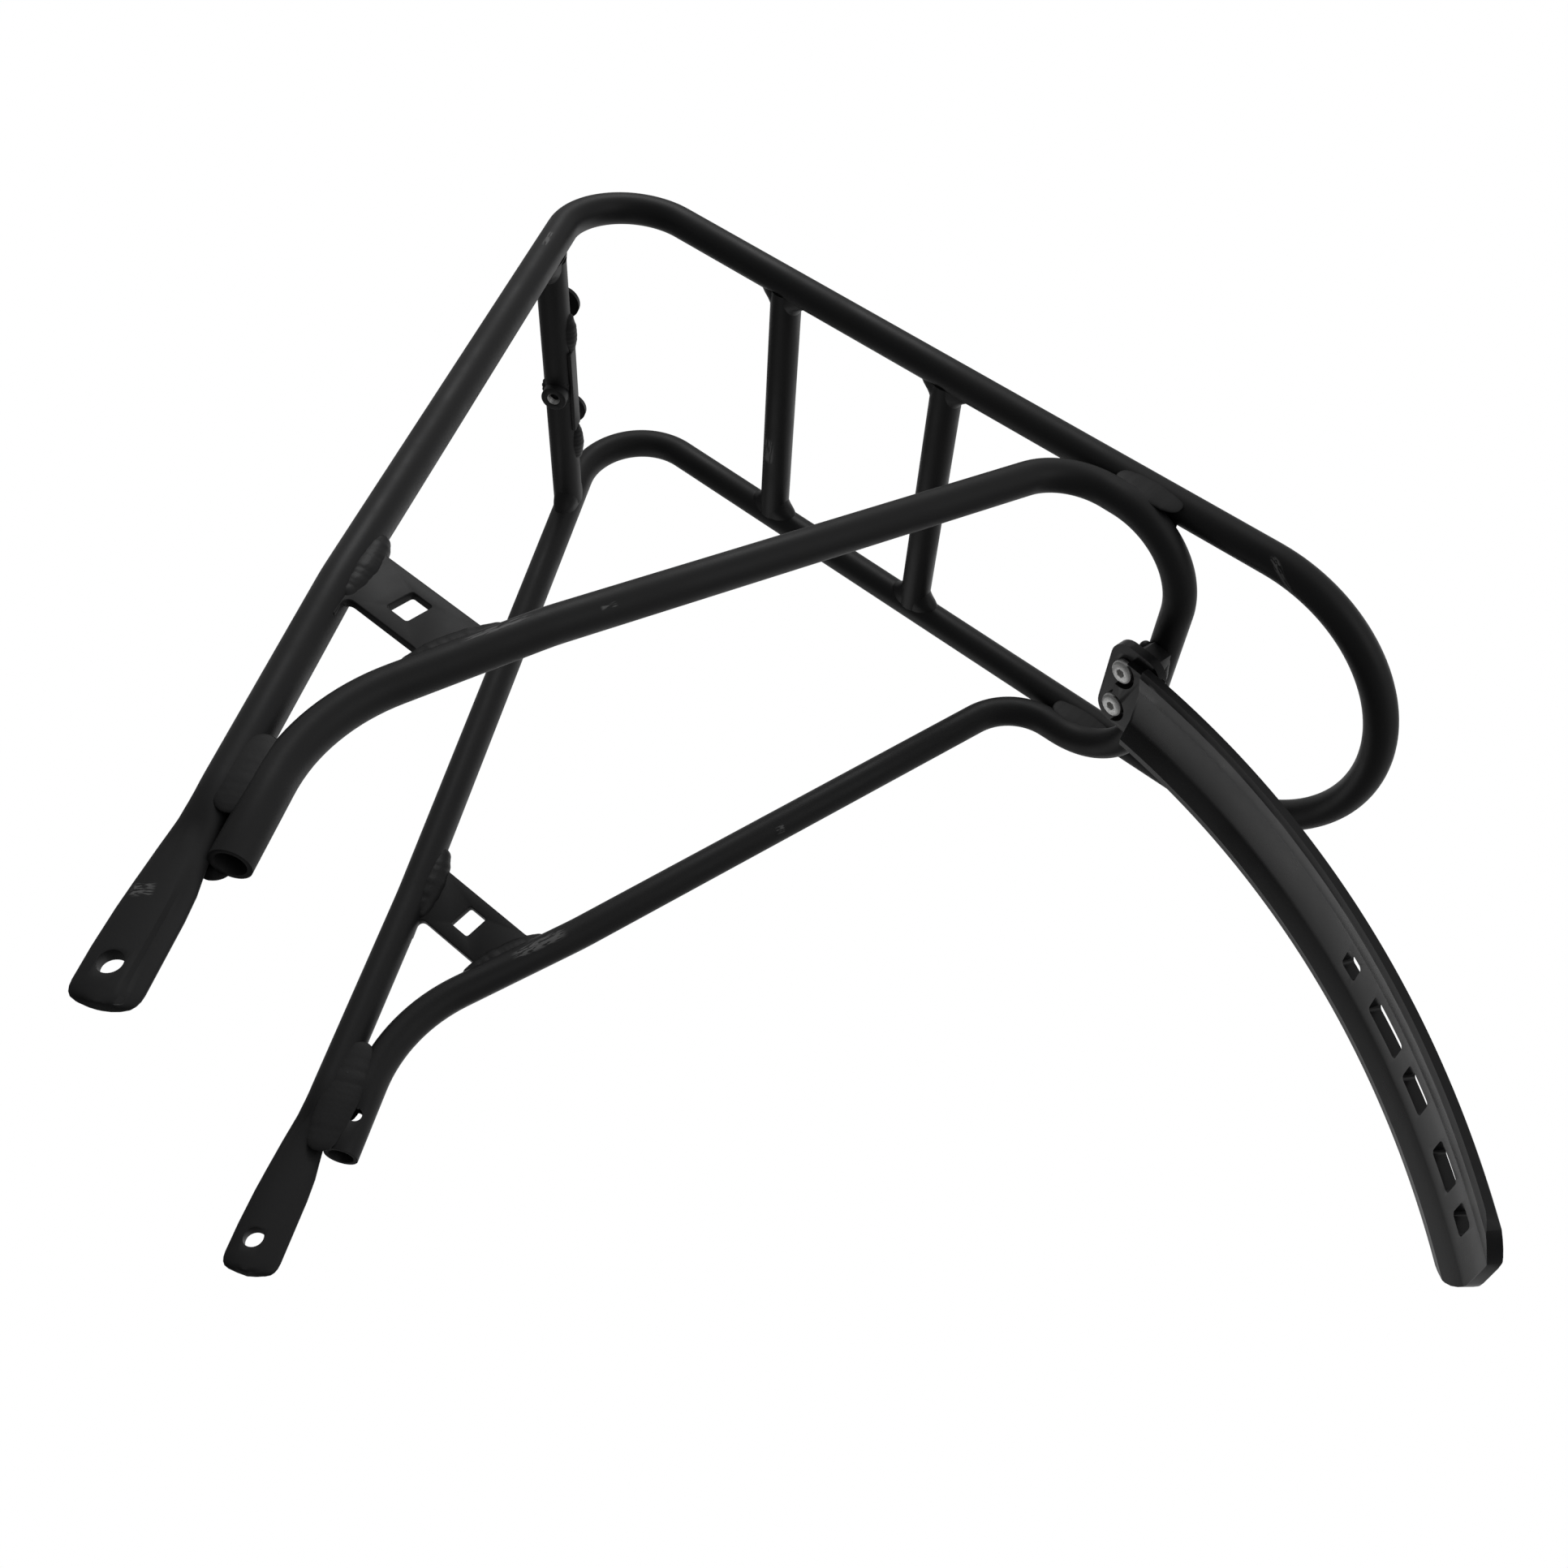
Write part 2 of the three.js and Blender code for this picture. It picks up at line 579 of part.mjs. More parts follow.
function bladeTipCutter() {
  const angle = THREE.MathUtils.degToRad(BLADE_END - 3);
  const radial = vec(Math.sin(angle), 0, Math.cos(angle));
  const along = vec(Math.cos(angle), 0, -Math.sin(angle));
  const centre = vec(ARC_X, 0, ARC_Z).addScaledVector(radial, ARC_RADIUS - 12);
  const w = BLADE_HALF_WIDTH + 0.4;
  const keep = plate(roundedBox(-60, 15.5, -w, w, 11), 24, centre, along, ACROSS, 8);
  const blank = plate(polygon([[0, -30], [40, -30], [40, 30], [0, 30]]), 24, centre, along, ACROSS);
  return blank.subtract(keep);
}

// The blade's mount: a thick lug with two rounded lobes, stepped down into the blade's channel.
function bladeLug() {
  const shape = new THREE.Shape();
  shape.moveTo(15, -18);
  shape.lineTo(15, 18);
  shape.absarc(-0.5, 12, 7.5, Math.PI / 2, Math.PI);
  shape.absarc(-0.5, -12, 7.5, Math.PI, Math.PI * 1.5);
  shape.closePath();
  const step = polygon([[0, -15.5], [17, -14], [17, 14], [0, 15.5]]);
  return bladePlate(shape, 3.2, 7, 6).add(bladePlate(step, 0.4, 5));
}

function mudguardBlade() {
  let solid = bladeSweep().add(bladeLug()).subtract(bladeTipCutter());
  for (const y of [-SCREW_Y, SCREW_Y]) {
    solid = solid.subtract(rod(onBlade(0, y, -6), onBlade(0, y, 3.2), 6.4, 28));
    solid = solid.subtract(rod(onBlade(0, y, 0), onBlade(0, y, 20), 2.9, 20));
  }
  const slots = [[31.7, 8], [35.8, 19], [39.7, 14], [44.1, 14], [47, 8]];
  for (const [degrees, length] of slots) {
    solid = solid.subtract(bladeSlot(degrees, length));
  }
  return largestPiece(solid);
}

// Button-head screw with a hexagon socket, standing on its head at the origin with its shank up +Y.
function bladeScrew() {
  const profile = [[0, 0], [2.6, 0.1], [4.2, 0.9], [4.7, 1.9], [4.7, 2.8], [2.6, 2.8], [2.6, 14.6], [0, 14.6]];
  const points = profile.map(([r, h]) => new THREE.Vector2(r, h));
  const socket = rod(vec(0, -1, 0), vec(0, 1.7, 0), 1.75, 6);
  return toSolid(new THREE.LatheGeometry(points, 24)).subtract(socket);
}

const rack = new THREE.Group();

function addPiece(name, solid, finish) {
  const mesh = new THREE.Mesh(toGeometry(solid), new THREE.MeshStandardMaterial(finish));
  mesh.name = name;
  rack.add(mesh);
  return mesh;
}

const mainKeepOut = mainTubeKeepOut();
const lowerKeepOut = lowerTube(true);

addPiece('main_tube', mainTube(), TUBE_BLACK);
addPiece('lower_tube', lowerTube(false), TUBE_BLACK);

const frontBarX = LEG_LEAN * FRONT_BAR_DEPTH;
const frontBarReach = legPoint(FRONT_BAR_DEPTH, 1).y;
addPiece('front_crossbar', crossbar(frontBarX, -FRONT_BAR_DEPTH, frontBarReach, mainKeepOut), TUBE_BLACK);
addPiece('middle_crossbar', crossbar(MIDDLE_BAR_X, 0, 59, mainKeepOut), TUBE_BLACK);
addPiece('rear_crossbar', crossbar(REAR_BAR_X, 0, 59.6, mainKeepOut), TUBE_BLACK);

for (const [side, label] of [[-1, 'left'], [1, 'right']]) {
  addPiece(`${label}_gusset`, gusset(side, [mainKeepOut, lowerKeepOut]), TUBE_BLACK);
}

addPiece('mudguard_boss', mudguardBoss(), TUBE_BLACK);
addPiece('stay_bracket', stayBracket(), TUBE_BLACK);
addPiece('bracket_strip', bracketStrip(), TUBE_BLACK);
addPiece('blade_bracket', bladeBracket(lowerKeepOut), TUBE_BLACK);
addPiece('mudguard_blade', mudguardBlade(), BLADE_BLACK);
for (const [side, label] of [[-1, 'left'], [1, 'right']]) {
  const screw = addPiece(`${label}_blade_screw`, bladeScrew(), SCREW_STEEL);
  screw.position.copy(onBlade(0, side * SCREW_Y, 0.1));
  screw.quaternion.setFromUnitVectors(vec(0, 1, 0), AWAY_FROM_WHEEL);
}

for (const [side, label] of [[-1, 'left'], [1, 'right']]) {
  const bars = [
    ['front', vec(frontBarX, frontBarReach, -FRONT_BAR_DEPTH), DOWN_LEG, 0.2],
    ['middle', vec(MIDDLE_BAR_X, RAIL_Y_FRONT + 0.7, 0), vec(1, 0, 0), 1.2],
    ['rear', vec(REAR_BAR_X, RAIL_Y_FRONT + 1.3, 0), vec(1, 0, 0), 1.2],
  ];
  for (const [name, tubeAxis, tubeDirection, flare] of bars) {
    const seat = vec(tubeAxis.x, side * (tubeAxis.y - 4), tubeAxis.z);
    const weld = barWeld(seat, side, tubeDirection, flare, mainKeepOut);
    addPiece(`${label}_${name}_crossbar_weld`, weld, TUBE_BLACK);
  }
}

for (const [side, label] of [[-1, 'left'], [1, 'right']]) {
  const tubes = [mainKeepOut, lowerKeepOut];
  addPiece(`${label}_gusset_leg_weld`, trim(gussetBead(side, true), tubes), TUBE_BLACK);
  addPiece(`${label}_gusset_brace_weld`, trim(gussetBead(side, false), tubes), TUBE_BLACK);
  for (const [face, place] of [[side, 'outer'], [-side, 'inner']]) {
    addPiece(`${label}_leg_weld_${place}`, trim(legBead(side, face), tubes), TUBE_BLACK);
    addPiece(`${label}_rail_weld_${place}`, trim(railBead(side, face), tubes), TUBE_BLACK);
  }
}

const bar = rod(nearFrontBar(0, 0, -70), nearFrontBar(0, 0, 70), BAR_RADIUS + GAP, 20);
addPiece('boss_weld', bossWeld(bar), TUBE_BLACK);
addPiece('left_stay_bracket_weld', stayBracketWeld(-1, bar), TUBE_BLACK);
addPiece('right_stay_bracket_weld', stayBracketWeld(1, bar), TUBE_BLACK);
addPiece('blade_bracket_front_weld', bladeBracketWeld(-1, lowerKeepOut), TUBE_BLACK);
addPiece('blade_bracket_rear_weld', bladeBracketWeld(1, lowerKeepOut), TUBE_BLACK);

const box = new THREE.Box3().setFromObject(rack);
rack.position.set(-(box.min.x + box.max.x) / 2, -(box.min.y + box.max.y) / 2, -box.min.z);

const carrier = new THREE.Group();
carrier.add(rack);
export default carrier;
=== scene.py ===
import math
import random

import bmesh
import bpy
from mathutils import Matrix, Vector


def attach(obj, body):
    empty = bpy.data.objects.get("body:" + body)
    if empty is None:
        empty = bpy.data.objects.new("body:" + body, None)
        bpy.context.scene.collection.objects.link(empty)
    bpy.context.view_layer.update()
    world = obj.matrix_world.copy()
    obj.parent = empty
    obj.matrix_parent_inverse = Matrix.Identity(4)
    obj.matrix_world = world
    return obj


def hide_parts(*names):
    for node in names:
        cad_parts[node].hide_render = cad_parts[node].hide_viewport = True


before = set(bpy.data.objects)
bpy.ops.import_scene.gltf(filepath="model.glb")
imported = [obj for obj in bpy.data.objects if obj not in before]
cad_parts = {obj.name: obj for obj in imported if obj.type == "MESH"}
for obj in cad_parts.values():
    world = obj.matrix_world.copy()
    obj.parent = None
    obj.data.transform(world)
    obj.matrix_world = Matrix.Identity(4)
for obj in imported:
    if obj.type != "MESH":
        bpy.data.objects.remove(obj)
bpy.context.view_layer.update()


# ------------------------
# The main tube: one length of 12 mm steel tube, cold bent into both legs, both rails
# and the rear loop. Its two ends are pressed flat, rounded off and drilled for the
# dropout screws, and the whole tube is powder coated in satin black.
# ------------------------

# Legs and rails would meet in two corners, this far in front of the middle and this high.
corner_forward = 259.206
corner_height = 371.574


def at(x, y, z):
    """A place in the carrier's frame in metres, from mm measured from midway between the two corners."""
    return Vector(((x - corner_forward) / 1000, y / 1000, (z + corner_height) / 1000))


def clear_selection():
    if bpy.context.object and bpy.context.object.mode != "OBJECT":
        bpy.ops.object.mode_set(mode="OBJECT")
    bpy.ops.object.select_all(action="DESELECT")


def pick(piece):
    """Makes a piece the only one selected, and active."""
    clear_selection()
    piece.select_set(True)
    bpy.context.view_layer.objects.active = piece


def settle(piece, name):
    """Gives a new primitive its name and puts its place into its mesh."""
    piece.name = name
    piece.data.name = name
    bpy.ops.object.transform_apply(location=True, rotation=True, scale=True)
    return piece


def open_ring(name, centre, direction, radius, sides=48):
    """A circle that faces a direction, left selected in edit mode to be drawn out into a tube."""
    clear_selection()
    turn = direction.to_track_quat("Z", "Y").to_euler()
    bpy.ops.mesh.primitive_circle_add(vertices=sides, radius=radius, location=centre, rotation=turn)
    piece = settle(bpy.context.object, name)
    bpy.ops.object.mode_set(mode="EDIT")
    bpy.ops.mesh.select_all(action="SELECT")
    return piece


def push(step):
    """Draws the open end out by a step."""
    bpy.ops.mesh.extrude_region_move(TRANSFORM_OT_translate={"value": tuple(step)})


def sweep_bend(centre, axis, angle, steps):
    """Bends the open end of a tube round an axis, by the right-hand rule."""
    bpy.ops.mesh.spin(steps=steps, angle=-angle, center=tuple(centre), axis=tuple(axis))


def run_tube(corners, radii, degrees=3.0):
    """Carries the open end along straight lines, with each corner bent to its radius."""
    here = corners[0]
    for index, radius in enumerate(radii):
        corner = corners[index + 1]
        arrive = (corner - corners[index]).normalized()
        leave = (corners[index + 2] - corner).normalized()
        turn = arrive.angle(leave)
        reach = radius * math.tan(turn / 2)
        start = corner - arrive * reach
        push(start - here)
        axis = arrive.cross(leave).normalized()
        centre = start + axis.cross(arrive) * radius
        sweep_bend(centre, axis, turn, max(2, math.ceil(math.degrees(turn) / degrees)))
        here = corner + leave * reach
    push(corners[-1] - here)


def select_where(piece, wanted):
    """In edit mode, selects just the vertices whose place passes a test."""
    bpy.ops.mesh.select_mode(type="VERT")
    bpy.ops.mesh.select_all(action="DESELECT")
    mesh = bmesh.from_edit_mesh(piece.data)
    for vertex in mesh.verts:
        vertex.select = bool(wanted(vertex.co))
    mesh.select_flush(True)
    bmesh.update_edit_mesh(piece.data)


def use_modifier(piece, kind, **settings):
    """Adds a modifier to a piece and applies it."""
    pick(piece)
    modifier = piece.modifiers.new(kind.lower(), kind)
    for key, value in settings.items():
        setattr(modifier, key, value)
    bpy.ops.object.modifier_apply(modifier=modifier.name)


def mirror_across(piece):
    """Adds a piece's other half, left for right."""
    use_modifier(piece, "MIRROR", use_axis=(False, True, False), merge_threshold=0.00005)


def face_out(piece):
    """Merges doubled vertices and turns every face outwards."""
    pick(piece)
    bpy.ops.object.mode_set(mode="EDIT")
    bpy.ops.mesh.select_all(action="SELECT")
    bpy.ops.mesh.remove_doubles(threshold=0.000004)
    bpy.ops.mesh.normals_make_consistent(inside=False)
    bpy.ops.object.mode_set(mode="OBJECT")


def ease_edges(piece, width, segments=3, degrees=50):
    """Rounds every edge that turns by more than an angle."""
    limit = math.radians(degrees)
    use_modifier(piece, "BEVEL", width=width, segments=segments, limit_method="ANGLE", angle_limit=limit)


def smooth_faces(piece, degrees=35):
    pick(piece)
    bpy.ops.object.shade_smooth_by_angle(angle=math.radians(degrees))


def cut(piece, *tools):
    """Takes each tool's shape out of a piece, and throws the tool away."""
    for tool in tools:
        use_modifier(piece, "BOOLEAN", operation="DIFFERENCE", object=tool, solver="EXACT")
        bpy.data.objects.remove(tool)


def weld_on(piece, *others):
    """Makes a piece and others one body."""
    for other in others:
        use_modifier(piece, "BOOLEAN", operation="UNION", object=other, solver="EXACT")
        bpy.data.objects.remove(other)


def round_rod(name, start, end, radius, sides=32):
    clear_selection()
    middle = (start + end) / 2
    turn = (end - start).to_track_quat("Z", "Y").to_euler()
    bpy.ops.mesh.primitive_cylinder_add(
        vertices=sides, radius=radius, depth=(end - start).length, location=middle, rotation=turn
    )
    return settle(bpy.context.object, name)


# What a leg moves rearward and outward for each mm of depth, and the depths where its splay changes.
leg_lean = 0.5614
leg_splay = 0.1023
lower_leg_splay = 0.01
leg_kink = 235
splay_end = 336.6
leg_length_per_depth = 1.1468
down_leg = Vector((leg_lean, 0, -1)).normalized()
off_leg = Vector((1, 0, leg_lean)).normalized()


def leg_at(depth, side):
    """A point on a leg's axis, so far below the platform; side is -1 for left and 1 for right."""
    upper = leg_splay * min(depth, leg_kink)
    lower = lower_leg_splay * max(0, min(depth, splay_end) - leg_kink)
    return at(leg_lean * depth, side * (58.3 + upper + lower), -depth)


tube_radius = 0.006
rear_loop_x, rear_loop_reach = 324, 60.8
main_tube = open_ring(
    "main_tube_coated", at(rear_loop_x + rear_loop_reach, 0, 0), Vector((0, -1, 0)), tube_radius
)
sweep_bend(at(rear_loop_x, 0, 0), (0, 0, -1), math.pi / 2, 36)
press_start = 350
press_top = leg_at(press_start / leg_length_per_depth, -1)
run_tube(
    [at(rear_loop_x, -rear_loop_reach, 0), at(0, -58.5, 0), leg_at(leg_kink, -1), press_top],
    [0.028, 0.08],
)

# Each step of the pressed end: how far down the leg, the width in front of and behind the axis,
# and half the thickness before the jaws' flats are pressed in.
press = [
    (353, 6.0, 6.0, 5.9), (356, 6.0, 6.0, 5.6), (359, 6.1, 6.0, 5.1), (362, 6.3, 6.0, 4.5),
    (365, 6.5, 6.0, 3.8), (368, 6.9, 6.1, 3.3), (371, 7.3, 6.2, 2.9), (375, 7.8, 6.5, 2.6),
    (380, 8.3, 7.2, 2.5), (386, 8.9, 8.1, 2.4), (394, 9.6, 8.5, 2.4), (406, 10.2, 8.5, 2.4),
    (416, 10.3, 8.5, 2.4), (417.8, 10.1, 8.3, 2.4), (419.2, 9.6, 7.8, 2.3), (420.3, 8.7, 6.9, 2.3),
    (421.0, 7.2, 5.4, 2.2), (421.4, 5.0, 3.2, 2.2), (421.6, 2.0, 0.2, 2.1),
]
reached = (press_start, 6.0, 6.0, 6.0)
centre = press_top
for station in press:
    shift = ((station[2] - station[1]) - (reached[2] - reached[1])) / 2000
    step = down_leg * ((station[0] - reached[0]) / 1000) + off_leg * shift
    push(step)
    centre = centre + step
    widen = (station[1] + station[2]) / (reached[1] + reached[2])
    bpy.ops.transform.resize(value=(widen, station[3] / reached[3], widen), center_override=tuple(centre))
    reached = station
bpy.ops.mesh.edge_face_add()

# The jaws flatten both faces: how far down the leg, and half the thickness they leave there.
flats = [(365, 3.2), (368, 2.5), (371, 2.1)] + [(row[0], 1.95) for row in press if row[0] > 371]
leg_top = at(0, 0, 0)
foot_middle = leg_at(367.6, -1)
for down, flat in flats:
    for face in (-1, 1):
        plane = foot_middle.y + face * flat / 1000
        select_where(
            main_tube,
            lambda co: abs((co - leg_top).dot(down_leg) - down / 1000) < 0.0001 and (co.y - plane) * face > 0,
        )
        bpy.ops.transform.resize(value=(1, 0, 1), center_override=(0, plane, 0))
# They leave a lower strip behind a crease on the outer face.
select_where(
    main_tube,
    lambda co: (co - leg_top).dot(down_leg) > 0.3835
    and (co - foot_middle).dot(off_leg) > 0.0038
    and co.y < foot_middle.y,
)
bpy.ops.transform.resize(value=(1, 0.45, 1), center_override=(0, foot_middle.y, 0))
bpy.ops.object.mode_set(mode="OBJECT")
mirror_across(main_tube)
face_out(main_tube)
hole_x, hole_z, hole_radius = 198.4, -359, 0.0034
for side in (-1, 1):
    hole_start = at(hole_x, side * 70, hole_z)
    hole_end = at(hole_x, side * 95, hole_z)
    cut(main_tube, round_rod("foot_drill", hole_start, hole_end, hole_radius, 48))
ease_edges(main_tube, 0.0003, 2)
smooth_faces(main_tube)


# Node helpers for the finishes.

def new_group(name, inputs, outputs):
    group = bpy.data.node_groups.new(name, "ShaderNodeTree")
    for label, kind, default in inputs:
        socket = group.interface.new_socket(name=label, in_out="INPUT", socket_type=kind)
        socket.default_value = default
    for label, kind in outputs:
        group.interface.new_socket(name=label, in_out="OUTPUT", socket_type=kind)
    ins = group.nodes.new("NodeGroupInput")
    outs = group.nodes.new("NodeGroupOutput")
    return group, ins, outs


def join(tree, source, target):
    tree.links.new(source, target)


def sums(tree, operation, first, second=None, clamp=False):
    """A Math node; each value is a number or a socket."""
    node = tree.nodes.new("ShaderNodeMath")
    node.operation = operation
    node.use_clamp = clamp
    for index, value in enumerate((first, second)):
        if value is None:
            continue
        if isinstance(value, (int, float)):
            node.inputs[index].default_value = value
        else:
            join(tree, value, node.inputs[index])
    return node.outputs[0]


def spread(tree, value, low, high, new_low=0.0, new_high=1.0):
    """A smooth step of a value from one range to another."""
    node = tree.nodes.new("ShaderNodeMapRange")
    node.interpolation_type = "SMOOTHSTEP"
    join(tree, value, node.inputs["Value"])
    for label, number in (("From Min", low), ("From Max", high), ("To Min", new_low), ("To Max", new_high)):
        node.inputs[label].default_value = number
    return node.outputs["Result"]


def object_place(tree):
    return tree.nodes.new("ShaderNodeTexCoord").outputs["Object"]


def stretched(tree, place, scale, turn=(0, 0, 0)):
    """A place scaled, and turned first, so that a noise runs one way."""
    node = tree.nodes.new("ShaderNodeMapping")
    node.inputs["Scale"].default_value = scale
    node.inputs["Rotation"].default_value = turn
    join(tree, place, node.inputs["Vector"])
    return node.outputs["Vector"]


def noise(tree, place, scale, detail=2.0, roughness=0.5):
    node = tree.nodes.new("ShaderNodeTexNoise")
    node.inputs["Scale"].default_value = scale
    node.inputs["Detail"].default_value = detail
    node.inputs["Roughness"].default_value = roughness
    join(tree, place, node.inputs["Vector"])
    return node.outputs["Fac"]


def blend_colours(tree, factor, first, second):
    """A mix of two colours; each is a tuple or a socket, and the factor is a socket."""
    node = tree.nodes.new("ShaderNodeMix")
    node.data_type = "RGBA"
    join(tree, factor, node.inputs[0])
    for slot, value in ((6, first), (7, second)):
        if isinstance(value, tuple):
            node.inputs[slot].default_value = (*value, 1)
        else:
            join(tree, value, node.inputs[slot])
    return node.outputs[2]


def make_coat_skin():
    """Powder coat's own surface: a faint orange peel, slow mottling, and the odd speck of grit under it."""
    group, ins, outs = new_group(
        "powder_coat_skin",
        [("Peel scale", "NodeSocketFloat", 520.0)],
        [("Height", "NodeSocketFloat"), ("Mottle", "NodeSocketFloat"), ("Specks", "NodeSocketFloat")],
    )
    place = object_place(group)
    peel = group.nodes.new("ShaderNodeTexNoise")
    peel.inputs["Detail"].default_value = 2.0
    join(group, place, peel.inputs["Vector"])
    join(group, ins.outputs["Peel scale"], peel.inputs["Scale"])
    fine = noise(group, place, 2600.0, 1.0)
    mottle = spread(group, noise(group, place, 26.0, 4.0, 0.6), 0.3, 0.7)
    cells = group.nodes.new("ShaderNodeTexVoronoi")
    cells.inputs["Scale"].default_value = 190.0
    join(group, place, cells.inputs["Vector"])
    specks = spread(group, cells.outputs["Distance"], 0.1, 0.05)
    rare = spread(group, noise(group, place, 70.0, 1.0), 0.6, 0.66)
    specks = sums(group, "MULTIPLY", specks, rare)
    height = sums(group, "ADD", peel.outputs["Fac"], sums(group, "MULTIPLY", fine, 0.25))
    height = sums(group, "ADD", height, sums(group, "MULTIPLY", specks, 1.4))
    join(group, height, outs.inputs["Height"])
    join(group, mottle, outs.inputs["Mottle"])
    join(group, specks, outs.inputs["Specks"])
    return group


def make_hairlines():
    """Fine handling scratches that run one way, in patches."""
    group, ins, outs = new_group(
        "handling_hairlines",
        [("Amount", "NodeSocketFloat", 0.5)],
        [("Mask", "NodeSocketFloat")],
    )
    place = object_place(group)
    along = noise(group, stretched(group, place, (60, 900, 900), (0.3, 0.5, 0.2)), 3.0, 2.0)
    cross = noise(group, stretched(group, place, (1100, 50, 700), (0.9, 0.1, 0.7)), 3.0, 2.0)
    lines = sums(group, "MAXIMUM", spread(group, along, 0.69, 0.73), spread(group, cross, 0.7, 0.74))
    patches = spread(group, noise(group, place, 34.0, 2.0), 0.5, 0.66)
    mask = sums(group, "MULTIPLY", lines, patches)
    join(group, sums(group, "MULTIPLY", mask, ins.outputs["Amount"], clamp=True), outs.inputs["Mask"])
    return group


def make_rub_mark():
    """One scuff at a place: broken pale lines along a direction, inside a soft-ended patch."""
    group, ins, outs = new_group(
        "rub_mark",
        [
            ("Centre", "NodeSocketVector", (0, 0, 0)),
            ("Along", "NodeSocketVector", (1, 0, 0)),
            ("Length", "NodeSocketFloat", 0.01),
            ("Width", "NodeSocketFloat", 0.002),
        ],
        [("Mask", "NodeSocketFloat")],
    )

    def vector_sum(operation, first, second):
        node = group.nodes.new("ShaderNodeVectorMath")
        node.operation = operation
        join(group, first, node.inputs[0])
        join(group, second, node.inputs[1])
        return node

    place = object_place(group)
    offset = vector_sum("SUBTRACT", place, ins.outputs["Centre"]).outputs["Vector"]
    run = vector_sum("DOT_PRODUCT", offset, ins.outputs["Along"]).outputs["Value"]
    spine = group.nodes.new("ShaderNodeVectorMath")
    spine.operation = "SCALE"
    join(group, ins.outputs["Along"], spine.inputs[0])
    join(group, run, spine.inputs["Scale"])
    side_step = vector_sum("SUBTRACT", offset, spine.outputs["Vector"]).outputs["Vector"]
    distance = group.nodes.new("ShaderNodeVectorMath")
    distance.operation = "LENGTH"
    join(group, side_step, distance.inputs[0])
    end_share = sums(group, "DIVIDE", sums(group, "ABSOLUTE", run), ins.outputs["Length"])
    side_share = sums(group, "DIVIDE", distance.outputs["Value"], ins.outputs["Width"])
    patch = sums(group, "MULTIPLY", spread(group, end_share, 1.0, 0.6), spread(group, side_share, 1.0, 0.5))
    streak = group.nodes.new("ShaderNodeVectorMath")
    streak.operation = "SCALE"
    join(group, spine.outputs["Vector"], streak.inputs[0])
    streak.inputs["Scale"].default_value = 0.09
    lines = vector_sum("ADD", side_step, streak.outputs["Vector"]).outputs["Vector"]
    broken = spread(group, noise(group, lines, 1800.0, 2.0, 0.5), 0.42, 0.54)
    join(group, sums(group, "MULTIPLY", patch, broken), outs.inputs["Mask"])
    return group


def make_dust():
    """Pale dust that settles on faces that look up, thin and uneven."""
    group, ins, outs = new_group(
        "settled_dust",
        [("Amount", "NodeSocketFloat", 0.3)],
        [("Mask", "NodeSocketFloat")],
    )
    normal = group.nodes.new("ShaderNodeNewGeometry").outputs["Normal"]
    parts = group.nodes.new("ShaderNodeSeparateXYZ")
    join(group, normal, parts.inputs[0])
    up = spread(group, parts.outputs["Z"], 0.35, 1.0)
    place = object_place(group)
    patches = spread(group, noise(group, place, 60.0, 5.0, 0.7), 0.42, 0.72)
    grain = spread(group, noise(group, place, 1500.0, 2.0), 0.4, 0.6, 0.5, 1.0)
    mask = sums(group, "MULTIPLY", sums(group, "MULTIPLY", up, patches), grain)
    join(group, sums(group, "MULTIPLY", mask, ins.outputs["Amount"], clamp=True), outs.inputs["Mask"])
    return group


coat_skin = make_coat_skin()
hairlines = make_hairlines()
rub_mark = make_rub_mark()
dust = make_dust()


def place_group(tree, group, **values):
    node = tree.nodes.new("ShaderNodeGroup")
    node.node_tree = group
    for label, value in values.items():
        node.inputs[label.replace("_", " ")].default_value = value
    return node


def new_finish(name):
    material = bpy.data.materials.new(name)
    material.use_nodes = True
    return material, material.node_tree, material.node_tree.nodes["Principled BSDF"]


def add_bump(tree, shader, height, strength, distance):
    bump = tree.nodes.new("ShaderNodeBump")
    bump.inputs["Strength"].default_value = strength
    bump.inputs["Distance"].default_value = distance
    join(tree, height, bump.inputs["Height"])
    join(tree, bump.outputs["Normal"], shader.inputs["Normal"])


